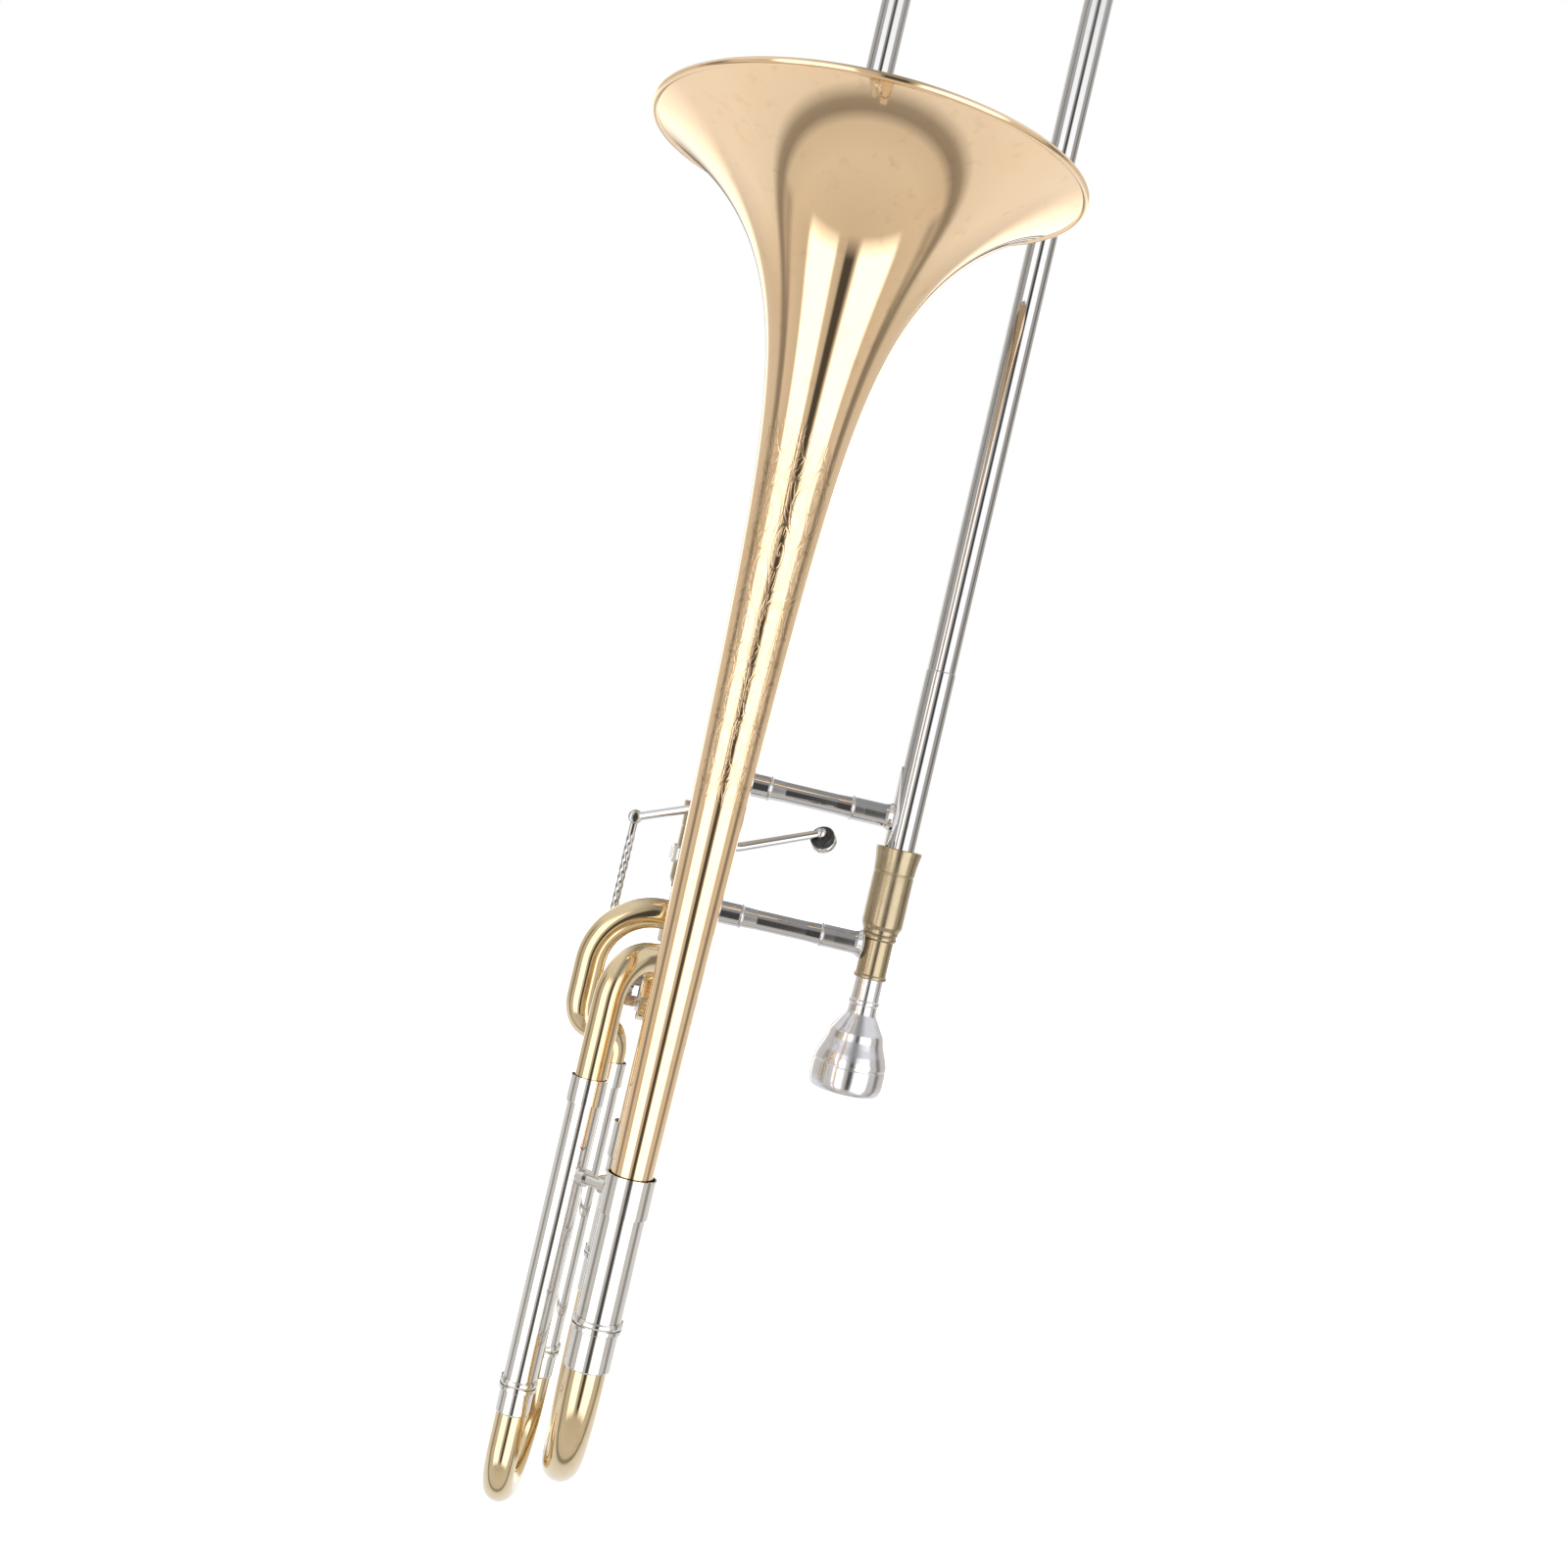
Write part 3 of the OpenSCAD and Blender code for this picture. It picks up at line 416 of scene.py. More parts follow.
def metal(name, bright, deep, shine, haze, lacquer=0.0, brush=0.12, stretch=(1, 1, 0.03)):
    """Polished metal: slow colour variation, smudges that dull it, and fine polishing lines along the tube."""
    n = Nodes(bpy.data.materials.new(name))
    fine_lines, line_depth = 2400.0, 0.00002
    patches = n.levels(n.noise(22.0, 3.0), 0.35, 0.7)
    stains = n.levels(n.noise(150.0, 4.0), 0.58, 0.78, 0.0, 0.5)
    colour = n.mix(n.math("MULTIPLY", patches, 0.45), bright, deep)
    colour = n.mix(stains, colour, tinted(deep, 0.82))
    n.join(colour, n.shader.inputs["Base Color"])
    smudge = n.levels(n.noise(45.0, 4.0), 0.4, 0.75, shine, shine + haze)
    lines = n.levels(n.noise(fine_lines, 2.0, stretch), 0.35, 0.65, -0.02, 0.03)
    n.join(n.math("ADD", smudge, lines), n.shader.inputs["Roughness"])
    n.join(n.bump(n.noise(fine_lines, 2.0, stretch), brush, line_depth), n.shader.inputs["Normal"])
    n.set(Metallic=1.0, Coat_Weight=lacquer, Coat_Roughness=0.04)
    return n


def scrolls(n, plane):
    """Depth of cut of leaves and coils, one to each cell of a plane of scattered points.

    With r and a the distance and angle from the cell's point, a coil is cut where a / 2 pi + 3.3 sqrt(r) is
    half way between whole numbers, petals where sin(9 a + 9 r) is near its limits, and a stem along the
    cells' borders."""
    cells = n.add("ShaderNodeTexVoronoi", voronoi_dimensions="2D", Scale=1.0, Randomness=0.55)
    n.join(plane, cells.inputs["Vector"])
    offset = n.add("ShaderNodeVectorMath", operation="SUBTRACT")
    n.join(plane, offset.inputs[0])
    n.join(cells.outputs["Position"], offset.inputs[1])
    leaf = n.add("ShaderNodeSeparateXYZ")
    n.join(offset.outputs[0], leaf.inputs[0])
    angle = n.math("ARCTAN2", leaf.outputs[1], leaf.outputs[0])
    length = n.add("ShaderNodeVectorMath", operation="LENGTH")
    n.join(offset.outputs[0], length.inputs[0])
    radius = length.outputs["Value"]
    coil = n.math("ADD", n.math("MULTIPLY", angle, 1 / TAU), n.math("MULTIPLY", n.math("SQRT", radius), 3.3))
    coil = n.math("ABSOLUTE", n.math("SUBTRACT", n.math("FRACT", coil), 0.5))
    coil = n.levels(coil, 0.05, 0.11, 1.0, 0.0)
    rays = n.math("SINE", n.math("ADD", n.math("MULTIPLY", angle, 9.0), n.math("MULTIPLY", radius, 9.0)))
    rays = n.levels(n.math("ABSOLUTE", rays), 0.86, 0.98)
    petals = n.math("MULTIPLY", rays, n.levels(radius, 0.24, 0.34))
    border = n.add(
        "ShaderNodeTexVoronoi", voronoi_dimensions="2D", feature="DISTANCE_TO_EDGE", Scale=1.0, Randomness=0.55
    )
    n.join(plane, border.inputs["Vector"])
    stem = n.levels(border.outputs["Distance"], 0.015, 0.04, 1.0, 0.0)
    return n.math("MAXIMUM", n.math("MAXIMUM", coil, n.math("MULTIPLY", petals, 0.7)), stem)


def engraved_bell(name, bright, deep):
    """Lacquered bell brass with shallow scrolls cut round the front of the throat."""
    n = metal(name, bright, deep, 0.03, 0.035, 0.4, 0.02, (1, 1, 1))
    # heights in metres, then the half width and the middle of the cut field as angles
    low, high, reach, front_angle = 0.06, 0.245, 0.95, 0.75 * TAU
    split = n.add("ShaderNodeSeparateXYZ")
    n.join(n.add("ShaderNodeTexCoord").outputs["UV"], split.inputs[0])
    around, height = split.outputs[0], split.outputs[1]
    plane = n.add("ShaderNodeCombineXYZ")
    n.join(n.math("MULTIPLY", around, 1.7), plane.inputs[0])
    n.join(n.math("MULTIPLY", height, 36.0), plane.inputs[1])
    wobble = n.math("MULTIPLY", n.math("SUBTRACT", n.noise(40.0, 2.0), 0.5), 0.05)
    z = n.math("ADD", height, wobble)
    field = n.math("MULTIPLY", n.levels(z, low, low + 0.01), n.levels(z, high - 0.01, high, 1.0, 0.0))
    turn = n.math("SUBTRACT", n.math("ADD", around, n.math("MULTIPLY", wobble, 8.0)), front_angle)
    turn = n.levels(n.math("ABSOLUTE", turn), reach, reach + 0.15, 1.0, 0.0)
    cut = n.math("MULTIPLY", scrolls(n, plane.outputs[0]), n.math("MULTIPLY", field, turn))
    colour, rough, normal = (n.shader.inputs[key] for key in ("Base Color", "Roughness", "Normal"))
    plain = [slot.links[0].from_socket for slot in (colour, rough, normal)]
    n.join(n.mix(n.math("MULTIPLY", cut, 0.32), plain[0], tinted(deep, 0.5)), colour)
    n.join(n.math("ADD", plain[1], n.math("MULTIPLY", cut, 0.15)), rough)
    groove = n.add("ShaderNodeBump", Strength=0.35, Distance=0.0001, invert=True)
    n.join(cut, groove.inputs["Height"])
    n.join(plain[2], groove.inputs["Normal"])
    n.join(groove.outputs["Normal"], normal)
    return n


def soft_stuff(name, light, dark, scale, rough, bump, sheen=0.0, specks=0.0):
    """Cork, rubber or moulded plastic: grained colour, uneven roughness and a fine bump."""
    n = Nodes(bpy.data.materials.new(name))
    grain = n.noise(scale, 5.0)
    colour = n.mix(n.levels(grain, 0.35, 0.65), dark, light)
    if specks:
        pits = n.add("ShaderNodeTexVoronoi", Scale=scale * 0.6)
        n.join(n.place((1, 1, 1)), pits.inputs["Vector"])
        colour = n.mix(n.levels(pits.outputs["Distance"], 0.0, 0.35, specks, 0.0), colour, tinted(dark, 0.4))
    n.join(colour, n.shader.inputs["Base Color"])
    uneven = n.levels(n.noise(scale * 0.3, 4.0), 0.3, 0.7, rough - 0.08, rough + 0.08)
    n.join(uneven, n.shader.inputs["Roughness"])
    n.join(n.bump(grain, bump, 0.0002), n.shader.inputs["Normal"])
    n.set(Metallic=0.0, Sheen_Weight=sheen)
    return n


FINISH = {}


def mix_finishes(look):
    """All finishes of the instrument, most of them under the name of the frame's slot that they belong to."""
    gold, yellow, raw = look.bell_colour[:], look.brass_colour[:], look.raw_colour[:]
    nickel, plate = look.nickel_colour[:], look.plate_colour[:]
    tube, cup = look.tube_colour[:], look.cup_colour[:]
    steel, black = (0.56, 0.57, 0.59), (0.02, 0.02, 0.022)
    made = dict(
        bell_gold_brass=engraved_bell("bell_gold_brass_lacquered", gold, tinted(gold, 0.96, 0.88, 0.78)),
        rim_gold_brass=metal("rim_gold_brass_polished", gold, tinted(gold, 0.92, 0.8, 0.66), 0.05, 0.06, 0.5),
        yellow_brass=metal(
            "yellow_brass_lacquered", yellow, tinted(yellow, 0.95, 0.84, 0.68), 0.045, 0.06, 0.5, 0.05
        ),
        raw_brass=metal("raw_brass_handled", raw, tinted(raw, 0.86), 0.22, 0.14, 0.0, 0.2),
        nickel_silver=metal("nickel_silver_polished", nickel, tinted(nickel, 0.9), 0.06, 0.08, 0.0, 0.06),
        bright_plate=metal("bright_plate_polished", plate, tinted(plate, 0.95), 0.035, 0.05, 0.0, 0.05),
        tube_plate=metal("slide_tube_polished", tube, tinted(tube, 0.95), 0.04, 0.05, 0.0, 0.05),
        cup_plate=metal("mouthpiece_plate_soft", cup, tinted(cup, 0.93), 0.13, 0.08, 0.0, 0.08),
        steel=metal("steel_turned", steel, (0.42, 0.42, 0.44), 0.22, 0.16, 0.0, 0.3),
        black_knob=soft_stuff("black_moulded", black, (0.012, 0.012, 0.014), 900.0, 0.28, 0.08),
        cork=soft_stuff("cork_pressed", (0.66, 0.46, 0.28), (0.42, 0.26, 0.14), 700.0, 0.85, 0.8, 0.0, 0.7),
        rubber=soft_stuff("rubber_moulded", (0.035, 0.034, 0.033), (0.02, 0.02, 0.02), 500.0, 0.62, 0.3, 0.1),
    )
    FINISH.update({name: nodes.owner for name, nodes in made.items()})


# ---------- settings ----------


def colour_setting(name, what, value):
    """A colour that a user may change."""
    return bpy.props.FloatVectorProperty(
        name=name, description=what, subtype="COLOR", size=3, min=0, max=1, default=value
    )


def length_setting(name, what, value):
    """A length that a user may change, in metres."""
    return bpy.props.FloatProperty(
        name=name, description=what, default=value, unit="LENGTH", subtype="DISTANCE", min=0
    )


class TromboneShape(bpy.types.PropertyGroup):
    """Sizes of the surfaces that stand for frame nodes."""

    bell_length: length_setting("Bell length", "From the rim to the sleeve at the stem's end", 0.472)
    stem_radius: length_setting("Stem radius", "Outer radius of the bell's stem at its sleeve", 0.011)
    flare_reach: length_setting("Flare reach", "Offset in the bell's curve; more makes the flare slower", 0.060)
    flare_fall: length_setting("Flare fall", "How soon the wide part of the flare dies out", 0.040)
    bell_wall: length_setting("Bell wall", "Thickness of the bell's sheet", 0.0008)
    rim_bead: length_setting("Rim bead", "Radius of the rolled rim", 0.0017)
    crook_radius: length_setting("Crook radius", "Outer radius of the valve loop's tube", 0.00735)
    bow_front: length_setting("Main bow, bell side", "Outer radius of the main bow at the bell's leg", 0.0094)
    bow_back: length_setting("Main bow, valve side", "Outer radius of the main bow at the valve's leg", 0.0083)
    tube_wall: length_setting("Tube wall", "Thickness of bows and crooks", 0.0006)
    brace_radius: length_setting("Brace radius", "Radius of the slide's cross bars", 0.006)


class TromboneLook(bpy.types.PropertyGroup):
    """Colours of the finishes."""

    bell_colour: colour_setting("Bell", "Gold brass of the bell", (0.95, 0.71, 0.46))
    brass_colour: colour_setting("Bows", "Yellow brass of the bows and crooks", (0.76, 0.615, 0.39))
    raw_colour: colour_setting("Barrels", "Raw brass of the slide's barrels", (0.45, 0.37, 0.245))
    nickel_colour: colour_setting("Nickel", "Nickel silver of sleeves and legs", (0.80, 0.785, 0.765))
    plate_colour: colour_setting("Plate", "Bright plate of the hand slide and braces", (0.66, 0.655, 0.665))
    tube_colour: colour_setting("Slide tubes", "Plate of the hand slide's tubes", (0.52, 0.517, 0.522))
    cup_colour: colour_setting("Mouthpiece", "Plate of the mouthpiece", (0.76, 0.755, 0.79))
    floor_colour: colour_setting("Floor", "Pale studio floor", (0.86, 0.86, 0.86))


# ---------- pieces ----------


class TROMBONE_OT_finish_frame(bpy.types.Operator):
    """Give every frame node that stays its finish"""

    bl_idname = "trombone.finish_frame"
    bl_label = "Finish the Frame"

    def execute(self, context):
        mix_finishes(context.scene.trombone_look)
        named = {m["slot"]: FINISH[m["slot"]] for m in frame["record"]["materials"]}
        for node, obj in frame["nodes"].items():
            for slot in obj.material_slots:
                name = slot.material.name.split(".")[0] if slot.material else ""
                if name not in named:
                    raise RuntimeError(f"{node} has the unknown material {name!r}")
                slot.material = named[name]
        for node, obj in frame["nodes"].items():
            if node in SLIDE_TUBES:
                obj.material_slots[0].material = FINISH["tube_plate"]
        return {"FINISHED"}


class TROMBONE_OT_bell(bpy.types.Operator):
    """Build the bell with its stem and rolled rim"""

    bl_idname = "trombone.bell"
    bl_label = "Bell"

    def execute(self, context):
        s = context.scene.trombone_shape
        power, droop = 0.4747, 1.2 * MM
        # radius(x) = stem ((length + reach) / (x + reach))^power + wide exp(-x / fall) - droop (x / length)^2
        stem = lambda x: s.stem_radius * ((s.bell_length + s.flare_reach) / (x + s.flare_reach)) ** power
        wide = BELL_RADIUS - s.rim_bead - stem(0.0)
        radius = lambda x: stem(x) + wide * np.exp(-x / s.flare_fall) - droop * (x / s.bell_length) ** 2
        x = s.bell_length * np.linspace(0, 1, 190) ** 1.8
        outer = np.stack([radius(x), RIM_Z - x], -1)
        end, end_z = outer[-1, 0], STEM_Z + 0.2 * MM
        tail = np.array([(end, end_z), (end - s.bell_wall, end_z)])
        xi = x[::-2]
        inner = np.stack([radius(xi) - s.bell_wall, RIM_Z - xi + s.bell_wall * np.exp(-xi / s.flare_fall)], -1)
        shell = turned_ring(np.concatenate([outer, tail, inner]), (0, BELL_Y, 0), around=300)
        piece("bell_shell", [shell], "bell_section", ("bell",), "bell_gold_brass")
        t = np.linspace(0, TAU, 40, endpoint=False)
        middle, middle_z = BELL_RADIUS - s.rim_bead, RIM_Z + 0.6 * MM
        bead = np.stack([middle + s.rim_bead * np.cos(t), middle_z + s.rim_bead * np.sin(t)], -1)
        rim = turned_ring(bead, (0, BELL_Y, 0), around=360)
        piece("bell_rolled_rim", [rim], "bell_section", ("bell_rim",), "bell_gold_brass", "rim_gold_brass")
        return {"FINISHED"}


def u_route(first, second, open_end, turn_z, way, leg_points):
    """Route of a bow: along one leg from its open end, half way round a circle and back along the other leg.

    The legs stand at two (x, y) spots, and the circle's middle m is at the height turn_z, with h half the step
    from leg to leg: spot = m - h cos(t), height = turn_z + way |h| sin(t)."""
    first, second = np.array(first, float), np.array(second, float)
    middle, half = (first + second) / 2, (second - first) / 2
    t = np.linspace(0, math.pi, 90)[:, None]
    height = turn_z + way * np.linalg.norm(half) * np.sin(t)
    arc = np.concatenate([middle - half * np.cos(t), height], -1)
    down = np.linspace([*first, open_end], arc[0], leg_points)
    up = np.linspace(arc[-1], [*second, open_end], leg_points)
    return np.concatenate([down[:-1], arc, up[1:]])


def leg_spots():
    """Axes of the loop's front and back legs, as (x, y)."""
    return np.array(spot("loop_leg_front")[:2]), np.array(spot("loop_leg_back")[:2])


class TROMBONE_OT_bows(bpy.types.Operator):
    """Build the bows of both tuning slides and of the hand slide"""

    bl_idname = "trombone.bows"
    bl_label = "Bows"

    def execute(self, context):
        s = context.scene.trombone_shape
        low, top = span("main_bow", 2)
        route = u_route((0, BELL_Y), (0, 0), top, low - BELL_Y / 2 + s.bow_back, -1, 8)
        share = np.clip((route[:, 1] - BELL_Y) / -BELL_Y, 0, 1)
        size = s.bow_front + (s.bow_back - s.bow_front) * share**0.8
        bow = hollow(route, size, s.tube_wall)
        piece("main_bow_tapered", [bow], "main_slide", ("main_bow",), "yellow_brass")

        front, back = leg_spots()
        low, top = span("loop_bow", 2)
        route = u_route(front, back, top, low + np.linalg.norm(back - front) / 2 + s.crook_radius, -1, 12)
        bow = hollow(route, s.crook_radius, s.tube_wall)
        piece("loop_bow_round", [bow], "loop_slide", ("loop_bow",), "yellow_brass")

        low, top = span("slide_bow", 2)
        tube_radius = 7.7 * MM
        route = u_route((0, 0), (SLIDE_X, 0), low, top - SLIDE_X / 2 - tube_radius, 1, 8)
        bow = hollow(route, tube_radius, s.tube_wall)
        piece("slide_bow_round", [bow], "hand_slide", ("slide_bow",), "nickel_silver")
        return {"FINISHED"}


class TROMBONE_OT_crooks(bpy.types.Operator):
    """Build the two tall crooks between the valve and its loop"""

    bl_idname = "trombone.crooks"
    bl_label = "Valve Crooks"

    def execute(self, context):
        s = context.scene.trombone_shape
        front, back = leg_spots()
        centre, port, knuckle = np.array(VALVE), 18.6 * MM, 30 * MM
        way = lambda a: np.array([0, math.cos(math.radians(a)), math.sin(math.radians(a))])

        low, knee = span("loop_crook_front", 2)[0], -13 * MM
        corners = [centre + way(225) * port, centre + way(225) * knuckle]
        corners += [(0, -64 * MM, knee), (*front, knee), (*front, low)]
        tube = hollow(bent(corners, mm(9, 13, 21)), s.crook_radius, s.tube_wall)
        piece("loop_crook_front_round", [tube], "bell_section", ("loop_crook_front",), "yellow_brass")

        low, knee = span("loop_crook_side", 2)[0], -54 * MM
        side = mm(-40.6, -56)
        top = centre + way(135) * (centre[1] - side[1]) / math.cos(math.pi / 4)
        corners = [centre + way(135) * port, top, (*side, top[2])]
        corners += [(*side, knee), (*back, knee), (*back, low)]
        tube = hollow(bent(corners, mm(10, 30, 13, 13)), s.crook_radius, s.tube_wall)
        piece("loop_crook_side_round", [tube], "bell_section", ("loop_crook_side",), "yellow_brass")
        return {"FINISHED"}


class TROMBONE_OT_braces(bpy.types.Operator):
    """Build the hand slide's two cross bars with their sockets, beads and pointed saddles"""

    bl_idname = "trombone.braces"
    bl_label = "Slide Braces"

    def execute(self, context):
        radius = context.scene.trombone_shape.brace_radius
        inner, outer = spot("inner_brace")[2], 78 * MM
        bar = self.bar(inner, 8.4 * MM, radius)
        piece("inner_cross_bar", [bar], "bell_section", ("inner_brace",), "bright_plate")
        low, high = span("slide_sleeves", 1)
        sleeve = (high - low) / 2
        saddles = [self.saddle(x, turn, outer, sleeve) for x, turn in ((0.0, 0.0), (SLIDE_X, math.pi))]
        bar = self.bar(outer, sleeve, radius)
        piece("outer_cross_bar", [bar, *saddles], "hand_slide", ("outer_brace",), "bright_plate")
        return {"FINISHED"}

    @staticmethod
    def bar(height, tube, r):
        """Round bar whose radius steps at the sockets and swells at the beads, turned round the X axis."""
        foot, bead = tube - 0.6 * MM, tube + 21 * MM
        # millimetres added to the bar's radius, and to the place of the socket's foot or of the bead
        socket = ((1.7, 0), (1.4, 1.4), (0.3, 3.2), (0, 5))
        swell = ((-0.1, -6), (-0.1, -0.3), (-0.4, -0.1), (-0.4, 0), (0.2, 0.2), (0.35, 0.6), (0.2, 1.2))
        swell += ((-0.5, 1.4), (-0.8, 9))
        half = [(r * 0.4, foot)]
        half += [(r + grow * MM, foot + at * MM) for grow, at in socket]
        half += [(r + grow * MM, bead + at * MM) for grow, at in swell]
        other = [(a, SLIDE_X - b) for a, b in half[::-1]]
        outline = softened(half + other, 0.25 * MM, closed=False)
        return turned_ring(outline, (0, 0, height), (1, 0, 0), around=72, closed=False)

    @staticmethod
    def saddle(x, turn, height, radius):
        """Thin plate wrapped on the tube, 54 mm long, 12.4 mm wide in the middle and pointed at both ends."""
        along = np.linspace(-1, 1, 70)
        wide = 6.6 * MM * np.clip(1 - np.abs(along), 0.004, 1) ** 0.8
        wide = np.minimum(wide, 6.2 * MM)
        t = np.linspace(-1, 1, 24)
        lift = radius + 0.9 * MM * (1 - np.abs(t) ** 8)
        out = np.concatenate([t, t[::-1]])
        level = np.concatenate([lift, np.full(24, radius - 0.3 * MM)])
        angle = wide[:, None] / radius * out[None, :] + turn
        z = np.broadcast_to((height + along * 27 * MM)[:, None], angle.shape)
        rings = np.stack([x + level * np.cos(angle), level * np.sin(angle), z], -1)
        return loft(rings)


class TROMBONE_OT_barrels(bpy.types.Operator):
    """Build the two cork barrels and the mouthpiece receiver in handled raw brass"""

    bl_idname = "trombone.barrels"
    bl_label = "Barrels"

    def execute(self, context):
        outline = [(6.75, 0), (9.0, 0), (9.3, 0.9), (9.3, 2.2), (9.9, 3.4), (10.5, 4.6), (10.65, 6.0)]
        outline += [(10.65, 31.6), (10.45, 32.0), (10.45, 32.4), (10.75, 33), (11.0, 37), (11.5, 41)]
        outline += [(11.9, 43.2), (12.1, 44.4), (11.9, 45.4), (11.2, 45.5), (10.6, 44), (9.5, 41)]
        outline += [(9.5, 3), (6.75, 3)]
        for node, x in (("barrel_mouth", SLIDE_X), ("barrel_bell", 0.0)):
            barrel = self.fitted(outline, 45.5, "barrel_mouth", x, 0.5 * MM)
            piece(node + "_spun", [barrel], "bell_section", (node,), "raw_brass")
        outline = [(7.42, 0.2), (8.2, 0), (8.7, 0.5), (8.8, 1.2), (8.6, 1.9), (8.15, 2.3), (8.05, 3.0)]
        outline += [(8.05, 10), (8.05, 16), (8.1, 20.6), (8.9, 21.0), (9.2, 21.6), (9.2, 22.6), (8.9, 23.2)]
        outline += [(8.6, 23.8), (6.75, 23.8), (6.75, 20), (6.5, 19)]
        receiver = self.fitted(outline, 23.8, "mouth_receiver", SLIDE_X, 0.4 * MM)
        piece("mouth_receiver_spun", [receiver], "bell_section", ("mouth_receiver",), "raw_brass")
        return {"FINISHED"}

    @staticmethod
    def fitted(outline, length, node, x, rounding):
        """Outline in millimetres turned round the tube at x, its length stretched to that of a frame node."""
        low, high = span(node, 2)
        outline = softened(np.array(outline) * [MM, (high - low) / length], rounding)
        return turned_ring(outline, (x, 0, low), around=120)


class TROMBONE_OT_mouthpiece(bpy.types.Operator):
    """Build the mouthpiece with its turned cup, rim and backbore"""

    bl_idname = "trombone.mouthpiece"
    bl_label = "Mouthpiece"

    def execute(self, context):
        left, right = span("mouthpiece", 0)
        low, high = span("mouthpiece", 2)
        r, top = (right - left) / 2 / MM, (high - low) / MM
        shank = [(5.3, top), (6.3, top), (7.35, top - 20.8), (7.5, top - 30)]
        ring = [(7.6, top - 32), (8.15, top - 32.5), (8.3, top - 33.4), (8.15, top - 34.3), (7.6, top - 34.8)]
        outside = [(7.7, 42.6), (8.1, 41.2), (9.9, 38.6), (11.9, 35.4), (13.7, 32.6), (14.3, 31.5), (15.0, 28)]
        outside += [(16.3, 24.6), (17.9, 21), (19.1, 17.4), (r - 0.15, 15.2), (r - 0.35, 14.6)]
        rim = [(r - 0.35, 14.1), (r, 13.4), (r, 10), (r, 6.6), (r - 0.25, 4.2), (r - 1.0, 2.0), (r - 2.3, 0.5)]
        rim += [(r - 4.0, 0.0), (r - 5.4, 0.6), (r - 6.1, 1.9), (r - 6.35, 4)]
        cup = [(12.8, 9), (12.2, 14), (11.0, 19), (8.6, 24), (5.6, 28), (3.6, 31), (3.3, 34), (3.3, 39)]
        cup += [(4.0, 55)]
        outline = softened(np.array(shank + ring + outside + rim + cup) * MM, 0.7 * MM, steps=4)
        turned = turned_ring(outline, (SLIDE_X, 0, low), around=144)
        piece("mouthpiece_turned", [turned], "mouthpiece", ("mouthpiece",), "bright_plate", "cup_plate")
        return {"FINISHED"}


